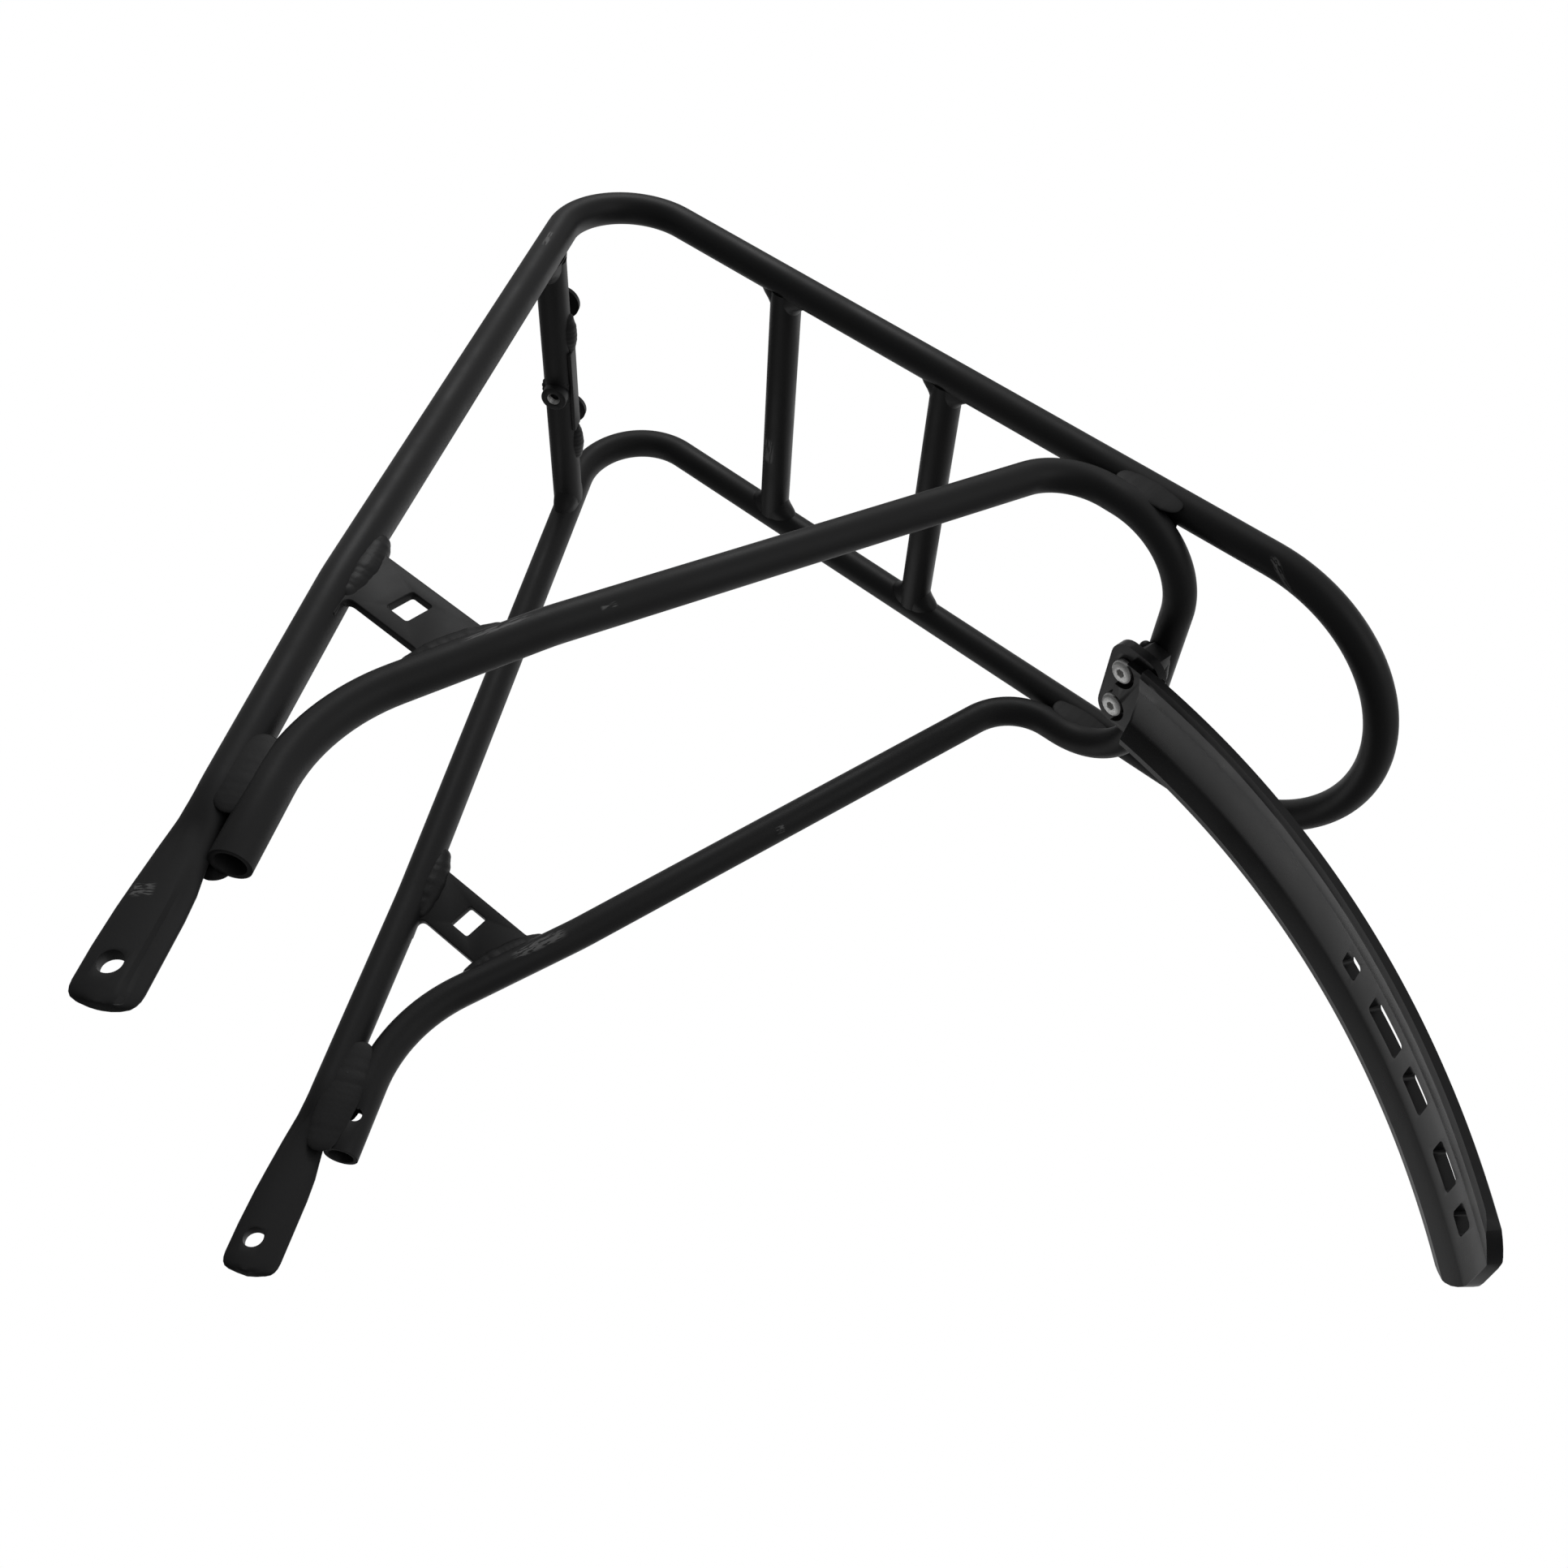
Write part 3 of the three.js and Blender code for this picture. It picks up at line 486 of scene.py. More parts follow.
def powder_black(name, marks=(), tone=0.0155, peel=0.16, hair=0.3, dusty=0.12):
    """Satin black powder coat with scuffs: each a place, a direction, half a length and half a width."""
    material, tree, shader = new_finish(name)
    skin = place_group(tree, coat_skin)
    hair_mask = place_group(tree, hairlines, Amount=hair).outputs["Mask"]
    dust_mask = place_group(tree, dust, Amount=dusty).outputs["Mask"]
    dark, light = (tone * 0.82, tone * 0.84, tone * 0.9), (tone * 1.2, tone * 1.2, tone * 1.24)
    colour = blend_colours(tree, skin.outputs["Mottle"], dark, light)
    colour = blend_colours(tree, sums(tree, "MULTIPLY", hair_mask, 0.5), colour, (0.1, 0.1, 0.1))
    rubbed = None
    for spot, along, length, width in marks:
        mask = place_group(
            tree, rub_mark, Centre=tuple(spot), Along=tuple(along), Length=length / 1000, Width=width / 1000
        ).outputs["Mask"]
        rubbed = mask if rubbed is None else sums(tree, "MAXIMUM", rubbed, mask)
    if rubbed is not None:
        colour = blend_colours(tree, sums(tree, "MULTIPLY", rubbed, 0.8), colour, (0.26, 0.26, 0.26))
    colour = blend_colours(tree, dust_mask, colour, (0.22, 0.21, 0.2))
    join(tree, colour, shader.inputs["Base Color"])
    rough = spread(tree, skin.outputs["Mottle"], 0.0, 1.0, 0.45, 0.56)
    rough = sums(tree, "ADD", rough, sums(tree, "MULTIPLY", hair_mask, 0.12))
    rough = sums(tree, "ADD", rough, sums(tree, "MULTIPLY", dust_mask, 0.35), clamp=True)
    join(tree, rough, shader.inputs["Roughness"])
    height = skin.outputs["Height"]
    height = sums(tree, "SUBTRACT", height, sums(tree, "MULTIPLY", hair_mask, 0.3))
    if rubbed is not None:
        height = sums(tree, "SUBTRACT", height, sums(tree, "MULTIPLY", rubbed, 0.8))
    add_bump(tree, shader, height, peel, 0.00012)
    return material


def dress(piece, material, slot, *nodes):
    """Puts a finish on a piece, stands it in for its CAD nodes, and fixes it to the frame."""
    piece.data.materials.clear()
    piece.data.materials.append(material)
    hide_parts(*nodes)
    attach(piece, "root")


tube_coat = powder_black(
    "powder_black_main_tube",
    [
        (at(16, -62, -5), Vector((0.6, 0, -0.8)), 7, 1.2),
        (at(32.7, -70.2, -57.3), down_leg, 6, 1.2),
        (at(186, -85.4, -341), Vector((0.8, 0, 0.6)), 3.5, 2.6),
        (at(195.3, -87, -341), down_leg, 2, 1),
        (at(331, -61, -5), Vector((0.8, 0.6, 0)), 9, 1.6),
        (at(377, 40, -3), Vector((0.4, -0.9, 0)).normalized(), 3, 1.5),
    ],
)
dress(main_tube, tube_coat, "coated_steel", "main_tube")


# ------------------------
# The lower tube: the same 12 mm tube, bent into the two braces that rise from beside
# the feet and the loop that joins them under the platform. Its cut ends are open, and
# a small drain hole is drilled through the right one.
# ------------------------

brace_top_x = 249.6
brace_lean = 0.293
brace_kink = 205
lower_brace_splay = 0.02


def brace_at(depth, side):
    """A point on a brace's axis, so far below the platform; it splays less below the kink."""
    y = 60.3 + 0.1063 * min(depth, brace_kink) + lower_brace_splay * max(0, depth - brace_kink)
    return at(brace_top_x - brace_lean * depth, side * y, -depth)


loop_x, loop_depth = 302, 12.3
loop_middle = at(loop_x, 0, -loop_depth)
loop_corner = at(loop_x, -60.5, -loop_depth)
brace_bottom = brace_at(275.2, -1)
brace_end = brace_bottom + Vector((leg_lean, -lower_brace_splay, -1)) * 0.0461
lower_tube = open_ring("lower_tube_coated", loop_middle, Vector((0, -1, 0)), tube_radius)
run_tube(
    [loop_middle, loop_corner, brace_at(loop_depth, -1), brace_at(brace_kink, -1), brace_bottom, brace_end],
    [0.033, 0.025, 0.08, 0.06],
)
bpy.ops.object.mode_set(mode="OBJECT")
mirror_across(lower_tube)
face_out(lower_tube)
use_modifier(lower_tube, "SOLIDIFY", thickness=0.0015, offset=-1.0)
face_out(lower_tube)
drain_way = Vector((-0.3, 0.91, 0.13)).normalized() * 0.015
drain_middle = at(187.3, 84, -308.5)
cut(lower_tube, round_rod("drain_drill", drain_middle - drain_way, drain_middle + drain_way, 0.0024))
ease_edges(lower_tube, 0.00025, 2)
smooth_faces(lower_tube)
brace_way = (brace_at(100, -1) - brace_at(200, -1)).normalized()
lower_coat = powder_black(
    "powder_black_lower_tube",
    [
        (at(183.9, -88.3, -219.5), brace_way, 12, 1.5),
        (at(185.1, 76.4, -220), brace_way, 12, 2.6),
        (at(198.2, -85, -188.6), brace_way, 3, 1),
        (at(218, 69.2, -123.6), brace_way, 2, 1.8),
    ],
)
dress(lower_tube, lower_coat, "coated_steel", "lower_tube")


# ------------------------
# The three crossbars: straight 10 mm tube, set into the sides of the main tube and welded
# all round. One ties the legs together below the front bend, and two span the platform.
# ------------------------

front_bar_depth = 55.5
middle_bar_x = 104
rear_bar_x = 184
bar_coat = powder_black("powder_black_crossbars", [(at(middle_bar_x, 20, -5), Vector((0, 1, 0)), 7, 3)])
# Each bar's place along the carrier, half its length, and its height.
bars = {
    "front_crossbar": (leg_lean * front_bar_depth, 60.0, -front_bar_depth),
    "middle_crossbar": (middle_bar_x, 56.5, 0),
    "rear_crossbar": (rear_bar_x, 57.0, 0),
}
for name, (x, reach, z) in bars.items():
    bar = open_ring(name + "_coated", at(x, -reach, z), Vector((0, 1, 0)), 0.005, 40)
    push((0, 2 * reach / 1000, 0))
    bpy.ops.object.mode_set(mode="OBJECT")
    use_modifier(bar, "SOLIDIFY", thickness=0.0012, offset=-1.0)
    face_out(bar)
    smooth_faces(bar)
    dress(bar, bar_coat, "coated_steel", name)


# ------------------------
# The weld beads: each joint is closed with a row of overlapping puddles of weld metal,
# laid round or along the joint, and coated over with the tubes. At a crossbar's end the
# weld is a flare, wide inside the main tube and drawn in to the bar.
# ------------------------

def lay_bead(name, puddles):
    """A weld bead from its puddles, each a place, a radius and a squeeze along X, Y and Z."""
    clear_selection()
    made = []
    for spot, radius, squeeze in puddles:
        bpy.ops.mesh.primitive_uv_sphere_add(
            segments=20, ring_count=12, radius=radius, location=spot, scale=squeeze
        )
        bpy.ops.object.transform_apply(location=True, rotation=True, scale=True)
        made.append(bpy.context.object)
    for one in made:
        one.select_set(True)
    bpy.context.view_layer.objects.active = made[0]
    bpy.ops.object.join()
    bead = bpy.context.object
    bead.name = name
    bead.data.name = name
    use_modifier(bead, "REMESH", mode="VOXEL", voxel_size=0.00032)
    use_modifier(bead, "SMOOTH", factor=0.5, iterations=7)
    pick(bead)
    bpy.ops.object.shade_smooth()
    return bead


weld_coat = powder_black("powder_black_welds", tone=0.013, peel=0.3, hair=0.1, dusty=0.15)
rail_way = Vector((1, 0, 0))
# Where each bar meets the right side of the main tube, and the way the tube runs there.
seats = {
    "front": (leg_at(front_bar_depth, 1), down_leg),
    "middle": (at(middle_bar_x, 59.25, 0), rail_way),
    "rear": (at(rear_bar_x, 59.8, 0), rail_way),
}
# Each step of a flare: how far from the tube's axis, its reach along the tube, and across it.
flare = [(3, 13, 5.6), (6, 11.6, 5.6), (7.4, 9.2, 5.5), (9.4, 7.2, 5.3), (12, 5.8, 5.15), (15, 5.05, 5.05)]
for side, label in ((-1, "left"), (1, "right")):
    for where, (tube_axis, along) in seats.items():
        node = f"{label}_{where}_crossbar_weld"
        inward = Vector((0, -side, 0))
        weld = open_ring(node + "_fillet", inward * 0.003, inward, 0.001, 32)
        height, reach, across = 3.0, 1.0, 1.0
        for next_height, next_reach, next_across in flare:
            if next_height > height:
                push(inward * ((next_height - height) / 1000))
            bpy.ops.transform.resize(
                value=(next_reach / reach, 1, next_across / across),
                center_override=tuple(inward * (next_height / 1000)),
            )
            height, reach, across = next_height, next_reach, next_across
        bpy.ops.object.mode_set(mode="OBJECT")
        weld.rotation_euler = (0, math.atan2(-along.z, along.x), 0)
        weld.location = (tube_axis.x, side * tube_axis.y, tube_axis.z)
        pick(weld)
        bpy.ops.object.transform_apply(location=True, rotation=True, scale=True)
        use_modifier(weld, "SUBSURF", levels=2)
        face_out(weld)
        smooth_faces(weld, 60)
        dress(weld, weld_coat, "coated_weld", node)


def weld_bead(node, puddles):
    dress(lay_bead(node + "_bead", puddles), weld_coat, "coated_weld", node)


dice = random.Random(11)


def bead_line(start, end, bulge, count, radius, squeeze):
    """Puddles in a row that swell towards the middle."""
    puddles = []
    for index in range(count):
        share = index / (count - 1)
        swell = math.sin(math.pi * (0.12 + 0.76 * share))
        spot = start.lerp(end, share) + bulge * swell
        size = radius * (0.62 + 0.38 * swell) * (0.96 + 0.08 * dice.random())
        puddles.append((spot, size, squeeze))
    return puddles


gusset_depth = 229.25
foot_joint_depth = 304
for side, label in ((-1, "left"), (1, "right")):
    mid = leg_at(gusset_depth, side)
    splay_way = Vector((leg_lean, side * leg_splay, -1)).normalized()
    leg_line = bead_line(
        mid - splay_way * 0.0118 + off_leg * 0.0038,
        mid + splay_way * 0.0118 + off_leg * 0.0038,
        Vector((0.001, 0, 0.0004)),
        17, 0.0068, (0.85, 0.62, 0.85),
    )
    bead = lay_bead(f"{label}_gusset_leg_bead", leg_line)
    dress(bead, weld_coat, "coated_weld", f"{label}_gusset_leg_weld")
    mid = brace_at(gusset_depth, side)
    brace_down = (brace_at(235, side) - brace_at(224, side)).normalized()
    brace_line = bead_line(
        mid - brace_down * 0.0118 + Vector((-0.0036, 0, 0)),
        mid + brace_down * 0.0145 + Vector((-0.0036, 0, 0)),
        Vector((-0.001, 0, 0)),
        17, 0.0066, (0.85, 0.62, 0.85),
    )
    bead = lay_bead(f"{label}_gusset_brace_bead", brace_line)
    dress(bead, weld_coat, "coated_weld", f"{label}_gusset_brace_weld")
    for face, place in ((side, "outer"), (-side, "inner")):
        foot_joint = leg_at(foot_joint_depth, side) + off_leg * 0.0063 + Vector((0, face * 0.0044, 0))
        foot_line = bead_line(
            foot_joint - down_leg * 0.0088, foot_joint + down_leg * (0.0088 if face == side else 0.024),
            Vector((0, face * 0.0002, 0)), 17, 0.007, (1, 0.18, 1),
        )
        weld_bead(f"{label}_leg_weld_{place}", foot_line)
        rail_joint = at(276, side * 60.5 + face * 4.4, -6.15)
        rail_line = bead_line(
            rail_joint - Vector((0.0085, 0, 0)), rail_joint + Vector((0.0085, 0, 0)),
            Vector((0, face * 0.0003, 0)), 13, 0.0066, (1, 0.19, 1),
        )
        weld_bead(f"{label}_rail_weld_{place}", rail_line)


# ------------------------
# The gusset plates: 3 mm steel strap with a punched square window, let in between each
# leg and its brace. It widens in a rounded corner to each end, where it is welded.
# ------------------------

def box(name, middle, span, turn=0.0):
    """A cube brought to size, and turned round the line across the carrier."""
    clear_selection()
    bpy.ops.mesh.primitive_cube_add(size=1, location=middle, rotation=(0, turn, 0), scale=span)
    return settle(bpy.context.object, name)


def block(name, low, high):
    return box(name, (low + high) / 2, tuple(high - low))


def round_edges(piece, radius, segments, wanted):
    """Rounds the edges whose two ends pass a test."""
    pick(piece)
    bpy.ops.object.mode_set(mode="EDIT")
    bpy.ops.mesh.select_mode(type="EDGE")
    bpy.ops.mesh.select_all(action="DESELECT")
    mesh = bmesh.from_edit_mesh(piece.data)
    for edge in mesh.edges:
        edge.select = wanted(edge.verts[0].co, edge.verts[1].co)
    bmesh.update_edit_mesh(piece.data)
    bpy.ops.mesh.bevel(offset=radius, segments=segments, affect="EDGES")
    bpy.ops.object.mode_set(mode="OBJECT")


def runs_along(direction):
    """A test for round_edges: does an edge run along a direction?"""
    return lambda a, b: abs((a - b).normalized().dot(direction)) > 0.9


def lean_ends(piece, top, bottom, leg_gap, brace_gap):
    """Leans a block's two ends to follow the leg and the brace, each so far from the tube's axis."""
    pick(piece)
    bpy.ops.object.mode_set(mode="EDIT")
    for edge in (top, bottom):
        leg_end = -leg_lean * edge + leg_gap
        brace_end = brace_top_x + brace_lean * edge - brace_gap
        for old, new in ((strap_front, leg_end), (strap_rear, brace_end)):
            spot = at(old, 0, edge)
            select_where(piece, lambda co: abs(co.x - spot.x) < 0.0001 and abs(co.z - spot.z) < 0.0001)
            bpy.ops.transform.translate(value=((new - old) / 1000, 0, 0))
    bpy.ops.object.mode_set(mode="OBJECT")


def round_corners(piece, height):
    """Rounds the edges that run across the carrier at one height."""
    level = at(0, 0, height).z
    round_edges(piece, 0.0038, 8, lambda a, b: abs(a.y - b.y) > 0.01 and abs(a.z - level) < 0.0001)


gusset_coat = powder_black("powder_black_gussets", tone=0.012, hair=0.5)
# The strap's edges, and the two blocks that cut it narrower between its ends.
strap_front, strap_rear = 150, 155
strap_top, strap_bottom = -211, -247
narrow_top, narrow_bottom = -219, -239.5
for side, label in ((-1, "left"), (1, "right")):
    y = side * (58.3 + leg_splay * gusset_depth + 0.8)
    low, high = at(strap_front, y - 1.5, strap_bottom), at(strap_rear, y + 1.5, strap_top)
    strap = block(f"{label}_gusset_coated", low, high)
    lean_ends(strap, strap_top, strap_bottom, 0, 0)
    above = block("above_strap", at(strap_front, y - 6, narrow_top), at(strap_rear, y + 6, -205))
    lean_ends(above, -205, narrow_top, 6.2, 5.6)
    below = block("below_strap", at(strap_front, y - 6, -250), at(strap_rear, y + 6, narrow_bottom))
    lean_ends(below, narrow_bottom, -250, 6.2, 5.6)
    round_corners(above, narrow_top)
    round_corners(below, narrow_bottom)
    window = block("window_punch", at(151.8, y - 6, -233.8), at(160.6, y + 6, -224.1))
    round_edges(window, 0.0009, 4, runs_along(Vector((0, 1, 0))))
    cut(strap, above, below, window)
    ease_edges(strap, 0.0004)
    middle = at(strap_rear, y, -gusset_depth)
    tilt = side * math.atan(leg_splay)
    strap.rotation_euler = (tilt, 0, 0)
    strap.location = middle - Matrix.Rotation(tilt, 3, "X") @ middle
    pick(strap)
    bpy.ops.object.transform_apply(location=True, rotation=True, scale=True)
    smooth_faces(strap)
    dress(strap, gusset_coat, "coated_steel", f"{label}_gusset")


# ------------------------
# The mudguard boss: a short turned steel bush, tapped M5 and welded under the middle
# of the front crossbar. The thread was cut after coating, so it is bright.
# ------------------------

def by_bar(down, off, y):
    """A place measured in mm down the leg and off it from the front crossbar's axis."""
    bar_middle = at(leg_lean * front_bar_depth, y, -front_bar_depth)
    return bar_middle + down_leg * (down / 1000) + off_leg * (off / 1000)


boss = round_rod("mudguard_boss_coated", by_bar(2, 0, 0), by_bar(9.2, 0, 0), 0.0052, 48)
tap_radius = 0.0026
cut(boss, round_rod("tap_drill", by_bar(1, 0, 0), by_bar(12, 0, 0), tap_radius, 40))
ease_edges(boss, 0.0004)
thread_mouth = by_bar(8.9, 0, 0)
half_pitch = 0.0004
thread = open_ring("mudguard_boss_thread", thread_mouth, down_leg, tap_radius, 40)
for index in range(14):
    squeeze = 1 / 0.86 if index % 2 else 0.86
    push(down_leg * -half_pitch)
    level = thread_mouth - down_leg * (half_pitch * (index + 1))
    bpy.ops.transform.resize(value=(squeeze,) * 3, center_override=tuple(level))
bpy.ops.mesh.edge_face_add()
bpy.ops.object.mode_set(mode="OBJECT")
smooth_faces(boss)
smooth_faces(thread, 20)
dress(boss, gusset_coat, "coated_steel", "mudguard_boss")


def bright_steel(name, roughness, stain):
    """Bare or zinc-plated steel with fine turning marks and a little grey staining."""
    material, tree, shader = new_finish(name)
    place = object_place(tree)
    stains = spread(tree, noise(tree, place, 240.0, 4.0, 0.6), 0.4, 0.75)
    lines = noise(tree, stretched(tree, place, (900, 900, 2500)), 2.0, 3.0)
    stained = sums(tree, "MULTIPLY", stains, stain)
    colour = blend_colours(tree, stained, (0.78, 0.78, 0.77), (0.42, 0.41, 0.4))
    join(tree, colour, shader.inputs["Base Color"])
    shader.inputs["Metallic"].default_value = 1.0
    rough = spread(tree, lines, 0.3, 0.7, roughness * 0.7, roughness * 1.3)
    rough = sums(tree, "ADD", rough, sums(tree, "MULTIPLY", stains, 0.12))
    join(tree, rough, shader.inputs["Roughness"])
    add_bump(tree, shader, lines, 0.15, 0.00005)
    return material


thread_steel = bright_steel("cut_thread_steel", 0.35, 0.7)
thread.data.materials.append(thread_steel)
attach(thread, "root")

# The weld round the boss follows the bar's curve.
ring = []
puddle_count = 22
for index in range(puddle_count):
    angle = 2 * math.pi * index / puddle_count
    wide = 7.2 * math.cos(angle)
    off = 5.9 * math.sin(angle)
    down = math.sqrt(max(0.0, 5.4 ** 2 - min(abs(off), 5.0) ** 2)) * 0.8
    ring.append((by_bar(down + 0.5, off * 0.97, wide * 0.93), 0.0012, (1.1, 1.1, 1.1)))
weld_bead("boss_weld", ring)


# ------------------------
# The stay bracket: 2 mm steel folded to an angle and welded over the front crossbar. Its
# front wall rises at both ends to a rounded ear, turned back and drilled for a stay. A
# narrow strip lies along the rear of the bar.
# ------------------------

def frame_block(name, down, off, y):
    """A block square to the leg; each range is in mm from the front crossbar's axis."""
    middle = by_bar(sum(down) / 2, sum(off) / 2, sum(y) / 2)
    span = ((off[1] - off[0]) / 1000, (y[1] - y[0]) / 1000, (down[1] - down[0]) / 1000)
    return box(name, middle, span, -math.atan(leg_lean))


bracket = frame_block("stay_bracket_coated", (-7.3, -5.3), (-6.5, 3), (-33.6, 33.6))
parts = [frame_block("wall_middle", (-12, -5.3), (-6.5, -4.5), (-33.6, 33.6))]
ear_off, ear_y = -3.1, 26.6
for side in (-1, 1):
    width = sorted((side * 19.62, side * 33.58))
    parts.append(frame_block("wall_end", (-20.9, -10), (-6.48, -4.52), width))
    parts.append(frame_block("ear_root", (-20.95, -19.05), (-6.3, ear_off), width))
    ear_top, ear_bottom = by_bar(-21, ear_off, side * ear_y), by_bar(-19, ear_off, side * ear_y)
    parts.append(round_rod("ear", ear_top, ear_bottom, 0.00701, 48))
weld_on(bracket, *parts)
for side in (-1, 1):
    drill_start, drill_end = by_bar(-25, ear_off, side * ear_y), by_bar(-16, ear_off, side * ear_y)
    cut(bracket, round_rod("ear_drill", drill_start, drill_end, 0.0025, 36))
ease_edges(bracket, 0.0004, degrees=40)
smooth_faces(bracket)
dress(bracket, gusset_coat, "coated_steel", "stay_bracket")

strip = frame_block("bracket_strip_coated", (-3.6, 3.6), (5.0, 6.8), (-19.4, 19.4))
use_modifier(strip, "BEVEL", width=0.0007, segments=4)
smooth_faces(strip)
dress(strip, gusset_coat, "coated_steel", "bracket_strip")
for side, label in ((-1, "left"), (1, "right")):
    row = bead_line(
        by_bar(0, 5.3, side * 20.5), by_bar(0, 5.3, side * 33.5), off_leg * 0.0004, 8, 0.0034, (0.8, 1, 1)
    )
    weld_bead(f"{label}_stay_bracket_weld", row)


# ------------------------
# The blade bracket: an 8 mm steel pad with its front corners cut back, welded under the
# lower tube's loop and drilled for the two blade screws.
# ------------------------

def blade_radial(degrees):
    """The direction away from the wheel, so many degrees rearward of its top."""
    angle = math.radians(degrees)
    return Vector((math.sin(angle), 0, math.cos(angle)))


def blade_way(degrees):
    """The direction along the blade there, towards its tail."""
    angle = math.radians(degrees)
    return Vector((math.cos(angle), 0, -math.sin(angle)))


screw_degrees = 8.6
along_blade = blade_way(screw_degrees)
off_wheel = blade_radial(screw_degrees)
wheel_centre = at(247, 0, -361.3)
arc_radius = 0.3318
screw_y = 8.8


def on_blade(along, y, away):
    """A place by the blade screws, in mm along the blade, across it, and away from the wheel."""
    top = wheel_centre + off_wheel * arc_radius
    return top + along_blade * (along / 1000) + off_wheel * (away / 1000) + Vector((0, y / 1000, 0))


def blade_block(name, along, y, away):
    """A block square to the blade's mount; each range is in mm, as for on_blade."""
    middle = on_blade(sum(along) / 2, sum(y) / 2, sum(away) / 2)
    span = ((along[1] - along[0]) / 1000, (y[1] - y[0]) / 1000, (away[1] - away[0]) / 1000)
    return box(name, middle, span, math.radians(screw_degrees))


pad_half_width = 16.5
pad_bottom, pad_top = 7.3, 15.2
pad = blade_block("blade_bracket_coated", (-7, 9), (-pad_half_width, pad_half_width), (pad_bottom, pad_top))
bpy.ops.object.mode_set(mode="EDIT")
for side in (-1, 1):
    bpy.ops.mesh.select_all(action="SELECT")
    outward = along_blade * -0.8 + Vector((0, side * 0.6, 0))
    corner = on_blade(1, side * pad_half_width, 10)
    bpy.ops.mesh.bisect(plane_co=tuple(corner), plane_no=tuple(outward), use_fill=True, clear_outer=True)
bpy.ops.object.mode_set(mode="OBJECT")
face_out(pad)
screw_way_radius = 0.0029
for side in (-1, 1):
    drill_start, drill_end = on_blade(0, side * screw_y, 5), on_blade(0, side * screw_y, 20)
    cut(pad, round_rod("plate_drill", drill_start, drill_end, screw_way_radius))
ease_edges(pad, 0.0004)
smooth_faces(pad)
dress(pad, gusset_coat, "coated_steel", "blade_bracket")
# A bead in front of the loop and one behind it join the pad's top to the tube.
loop_along = (loop_middle - on_blade(0, 0, 0)).dot(along_blade) * 1000
for end, place in ((-1, "front"), (1, "rear")):
    middle = loop_along + end * 4.4
    row = bead_line(
        on_blade(middle, -11, pad_top), on_blade(middle, 11, pad_top),
        off_wheel * 0.0004, 17, 0.0034, (0.95, 1, 1),
    )
    weld_bead(f"blade_bracket_{place}_weld", row)


# ------------------------
# The mudguard blade: injection-moulded black plastic, a shallow channel curved to the
# wheel. Its front end steps up into a flat 4 mm lug, recessed for the two screws' heads,
# and five slots are moulded through its tail, which has rounded corners.
# ------------------------

start_degrees = 10.4
sweep_degrees = 39.9
half_skin = 1.1
radial = blade_radial(start_degrees)
blade = box(
    "mudguard_blade_moulded",
    wheel_centre + radial * (arc_radius + half_skin / 1000),
    (0.001, 0.039, half_skin / 500),
    math.radians(start_degrees),
)
# Half the channel's section: how far from its middle, and how far the flat strip's inner
# and outer faces move away from the wheel there. The last row is its edge.
section = [
    (7.5, 0.0, 2.0), (9, -0.5, 2.0), (13, -1.7, 0.96),
    (16.6, -2.6, 0.03), (17.5, -2.4, -0.2), (19.5, -2.2, -1.4),
]
bpy.ops.object.mode_set(mode="EDIT")
for y in sorted(side * row[0] / 1000 for row in section[:-1] for side in (-1, 1)):
    bpy.ops.mesh.select_all(action="SELECT")
    bpy.ops.mesh.bisect(plane_co=(0, y, 0), plane_no=(0, 1, 0))


def from_arc(co):
    """How far a place is outside the blade's inner arc, in mm."""
    return ((co - wheel_centre).dot(radial) - arc_radius) * 1000


for y, drop_inside, drop_outside in section:
    for inside, drop in ((True, drop_inside), (False, drop_outside)):
        select_where(
            blade,
            lambda co: abs(abs(co.y) - y / 1000) < 0.00005 and (from_arc(co) < half_skin) == inside,
        )
        bpy.ops.transform.translate(value=tuple(radial * (drop / 1000)))
bpy.ops.mesh.select_mode(type="FACE")
bpy.ops.mesh.select_all(action="DESELECT")
mesh = bmesh.from_edit_mesh(blade.data)
for face in mesh.faces:
    face.select = face.normal.dot(blade_way(start_degrees)) > 0.9
bmesh.update_edit_mesh(blade.data)
sweep_bend(wheel_centre, (0, 1, 0), math.radians(sweep_degrees), 80)
bpy.ops.object.mode_set(mode="OBJECT")
face_out(blade)


def arc_block(name, degrees, start, end, half_width, corner=0.0):
    """A block set square through the blade, from start to end along it, with rounded corners."""
    middle = wheel_centre + blade_radial(degrees) * (arc_radius + 0.001)
    middle = middle + blade_way(degrees) * ((start + end) / 2000)
    tool = box(name, middle, ((end - start) / 1000, half_width / 500, 0.024), math.radians(degrees))
    if corner:
        round_edges(tool, corner, 8, runs_along(blade_radial(degrees)))
    return tool


tip_degrees = 47.4
tip_tool = arc_block("tip_blank", tip_degrees, 0, 40, 30)
cut(tip_tool, arc_block("tip_keep", tip_degrees, -60, 14.8, 19.9, 0.0145))
cut(blade, tip_tool)
for degrees, length in ((31.7, 8), (35.8, 19), (39.7, 14), (44.1, 14), (47, 8)):
    cut(blade, arc_block("slot_tool", degrees, -length / 2, length / 2, 4, 0.0016))

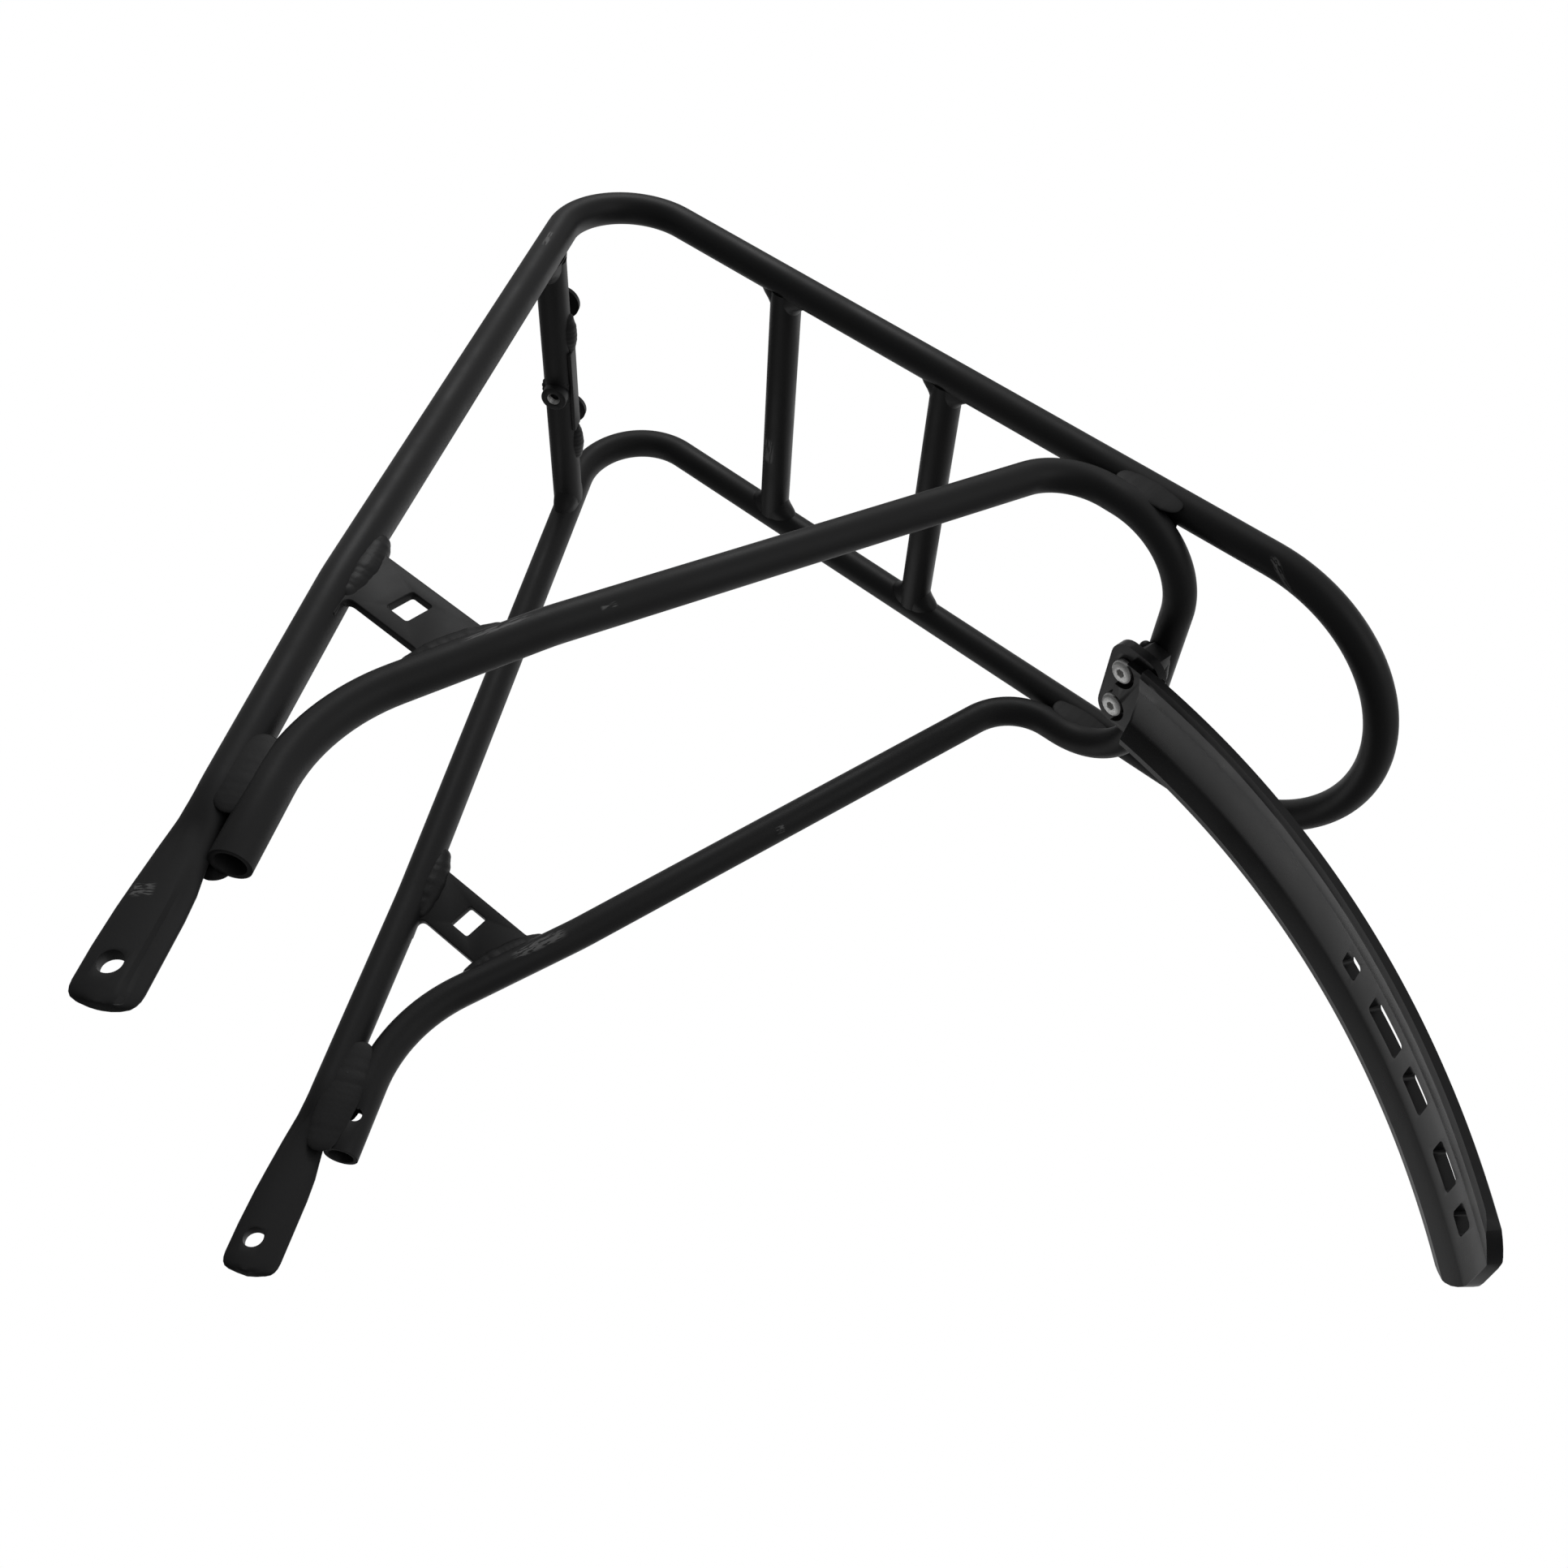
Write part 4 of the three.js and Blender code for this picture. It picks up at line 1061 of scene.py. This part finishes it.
lug_face = 3.2
lug = blade_block("blade_lug", (-8, 15), (-19.4, 19.4), (lug_face, 7.0))
round_edges(lug, 0.0074, 8, runs_along(off_wheel))
step_block = blade_block("blade_step", (-1, 16), (-15, 15), (0.2, 5))
weld_on(blade, lug, step_block)
for side in (-1, 1):
    y = side * screw_y
    cut(blade, round_rod("counterbore", on_blade(0, y, -8), on_blade(0, y, lug_face), 0.0064, 48))
    cut(blade, round_rod("screw_way", on_blade(0, y, 0), on_blade(0, y, 20), screw_way_radius))
ease_edges(blade, 0.00045, degrees=24)
smooth_faces(blade, 30)


def moulded_black(name):
    """Semi-gloss black moulding: faint flow marks, fine rubbing, and dust on top."""
    material, tree, shader = new_finish(name)
    place = object_place(tree)
    hair_mask = place_group(tree, hairlines, Amount=0.9).outputs["Mask"]
    dust_mask = place_group(tree, dust, Amount=0.22).outputs["Mask"]
    flow = noise(tree, stretched(tree, place, (12, 60, 12)), 3.0, 3.0)
    cloud = spread(tree, noise(tree, place, 18.0, 4.0, 0.6), 0.3, 0.7)
    colour = blend_colours(tree, cloud, (0.009, 0.009, 0.0095), (0.015, 0.015, 0.016))
    colour = blend_colours(tree, sums(tree, "MULTIPLY", hair_mask, 0.3), colour, (0.09, 0.09, 0.09))
    colour = blend_colours(tree, dust_mask, colour, (0.2, 0.19, 0.18))
    join(tree, colour, shader.inputs["Base Color"])
    rough = spread(tree, cloud, 0.0, 1.0, 0.24, 0.34)
    rough = sums(tree, "ADD", rough, sums(tree, "MULTIPLY", hair_mask, 0.2))
    rough = sums(tree, "ADD", rough, sums(tree, "MULTIPLY", dust_mask, 0.4), clamp=True)
    join(tree, rough, shader.inputs["Roughness"])
    pebble = noise(tree, place, 1900.0, 2.0)
    height = sums(tree, "ADD", sums(tree, "MULTIPLY", flow, 1.6), sums(tree, "MULTIPLY", pebble, 0.35))
    height = sums(tree, "SUBTRACT", height, sums(tree, "MULTIPLY", hair_mask, 0.5))
    add_bump(tree, shader, height, 0.2, 0.0001)
    shader.inputs["IOR"].default_value = 1.49
    return material


dress(blade, moulded_black("moulded_black_blade"), "blade_plastic", "mudguard_blade")


# ------------------------
# The blade screws: two zinc-plated M5 button heads with 3 mm hexagon sockets, driven
# up from the wheel side through the lug and into the pad.
# ------------------------

screw_zinc = bright_steel("zinc_plated_screw", 0.36, 0.12)
head_base, head_radius = 2.9, 4.75
# Each step of a head from its base: how far away from the wheel, and its radius there.
profile = [(2.0, head_radius), (1.1, 4.66), (0.62, 4.4), (0.42, 3.95), (0.3, 3.4), (0.2, 2.8), (0.15, 2.2)]
for side, label in ((-1, "left"), (1, "right")):
    y = side * screw_y
    head = open_ring(f"{label}_blade_screw_zinc", on_blade(0, y, head_base), off_wheel, head_radius / 1000)
    deep, wide = head_base, head_radius
    for next_deep, next_wide in profile:
        push(off_wheel * ((next_deep - deep) / 1000))
        ratio = next_wide / wide
        bpy.ops.transform.resize(value=(ratio,) * 3, center_override=tuple(on_blade(0, y, next_deep)))
        deep, wide = next_deep, next_wide
    bpy.ops.mesh.edge_face_add()
    select_where(head, lambda co: (co - on_blade(0, y, head_base)).dot(off_wheel) > -0.00005)
    bpy.ops.mesh.edge_face_add()
    bpy.ops.object.mode_set(mode="OBJECT")
    face_out(head)
    weld_on(head, round_rod("shank", on_blade(0, y, 1.5), on_blade(0, y, 14.7), 0.0025))
    cut(head, round_rod("hex_key", on_blade(0, y, -3), on_blade(0, y, 1.75), 0.00173, 6))
    ease_edges(head, 0.00012, 2, 45)
    smooth_faces(head, 30)
    dress(head, screw_zinc, "screw_steel", f"{label}_blade_screw")


# ------------------------
# The stage: a pale floor under the feet that can't be seen from below, a white surround,
# and soft lamps in front and behind on the left and overhead. A faint one low on the
# right does the work of a reflector card.
# ------------------------

clear_selection()
bpy.ops.mesh.primitive_plane_add(size=12, location=(0, 0, -0.0005))
floor = settle(bpy.context.object, "stage_floor")
floor_paint, tree, shader = new_finish("stage_floor_paint")
shader.inputs["Roughness"].default_value = 0.9
back = tree.nodes.new("ShaderNodeNewGeometry").outputs["Backfacing"]
seen = tree.nodes.new("ShaderNodeLightPath").outputs["Is Camera Ray"]
clear = tree.nodes.new("ShaderNodeBsdfTransparent")
mix = tree.nodes.new("ShaderNodeMixShader")
join(tree, sums(tree, "MULTIPLY", back, seen), mix.inputs[0])
join(tree, blend_colours(tree, seen, (0.2, 0.2, 0.2), (0.82, 0.82, 0.82)), shader.inputs["Base Color"])
join(tree, shader.outputs[0], mix.inputs[1])
join(tree, clear.outputs[0], mix.inputs[2])
join(tree, mix.outputs[0], tree.nodes["Material Output"].inputs["Surface"])
floor.data.materials.append(floor_paint)

world = bpy.data.worlds.new("studio")
bpy.context.scene.world = world
world.use_nodes = True
tree = world.node_tree
ground = tree.nodes["Background"]
ground.inputs["Color"].default_value = (1, 1, 1, 1)
# The camera sees plain white all round. As a light it is dimmer, and strongest from beyond
# the carrier.
path = tree.nodes.new("ShaderNodeLightPath").outputs["Is Camera Ray"]
toward = tree.nodes.new("ShaderNodeVectorMath")
toward.operation = "DOT_PRODUCT"
join(tree, tree.nodes.new("ShaderNodeTexCoord").outputs["Generated"], toward.inputs[0])
toward.inputs[1].default_value = tuple(Vector((-0.3, 0.9, 0.3)).normalized())
backdrop = spread(tree, toward.outputs["Value"], 0.5, 0.95, 0.3, 0.6)
join(tree, sums(tree, "MAXIMUM", path, backdrop), ground.inputs["Strength"])


def soft_lamp(name, spot, size, power):
    """A square lamp aimed at the carrier's middle, which the camera doesn't see."""
    clear_selection()
    aim = at(230, 0, -150)
    turn = (Vector(spot) - aim).to_track_quat("Z", "Y").to_euler()
    bpy.ops.object.light_add(type="AREA", location=spot, rotation=turn)
    lamp = bpy.context.object
    lamp.name = name
    lamp.data.size = size
    lamp.data.energy = power
    lamp.visible_camera = False


soft_lamp("key_lamp", (-0.95, -1.15, 1.15), 0.6, 3)
soft_lamp("fill_lamp", (1.3, -1.2, 0.35), 1.2, 1.6)
soft_lamp("top_lamp", (0.1, 0.6, 1.5), 1.2, 2)
soft_lamp("reflector_card", (-0.15, 0.31, 0.14), 0.26, 0.1)

# The camera looks up from behind, below and to the left.
camera_data = bpy.data.cameras.new("view")
camera = bpy.data.objects.new("view", camera_data)
bpy.context.scene.collection.objects.link(camera)
sensor_width = 36
view_size = 1932
focal_length, centre_x, centre_y = 2006.758, 1033.255, 1016.745
camera_data.sensor_width = sensor_width
camera_data.lens = focal_length / view_size * sensor_width
camera_data.shift_x = (view_size / 2 - centre_x) / view_size
camera_data.shift_y = (centre_y - view_size / 2) / view_size
camera_data.clip_start = 0.01
camera.location = at(453.456, -433.394, -424.191)
right = Vector((0.7606, -0.0741, 0.6450)).normalized()
ahead = Vector((-0.3476, 0.7926, 0.5010)).normalized()
lift = right.cross(ahead).normalized()
camera.rotation_euler = Matrix((right, lift, -ahead)).transposed().to_euler()
bpy.context.scene.camera = camera
bpy.context.scene.view_settings.view_transform = "Standard"
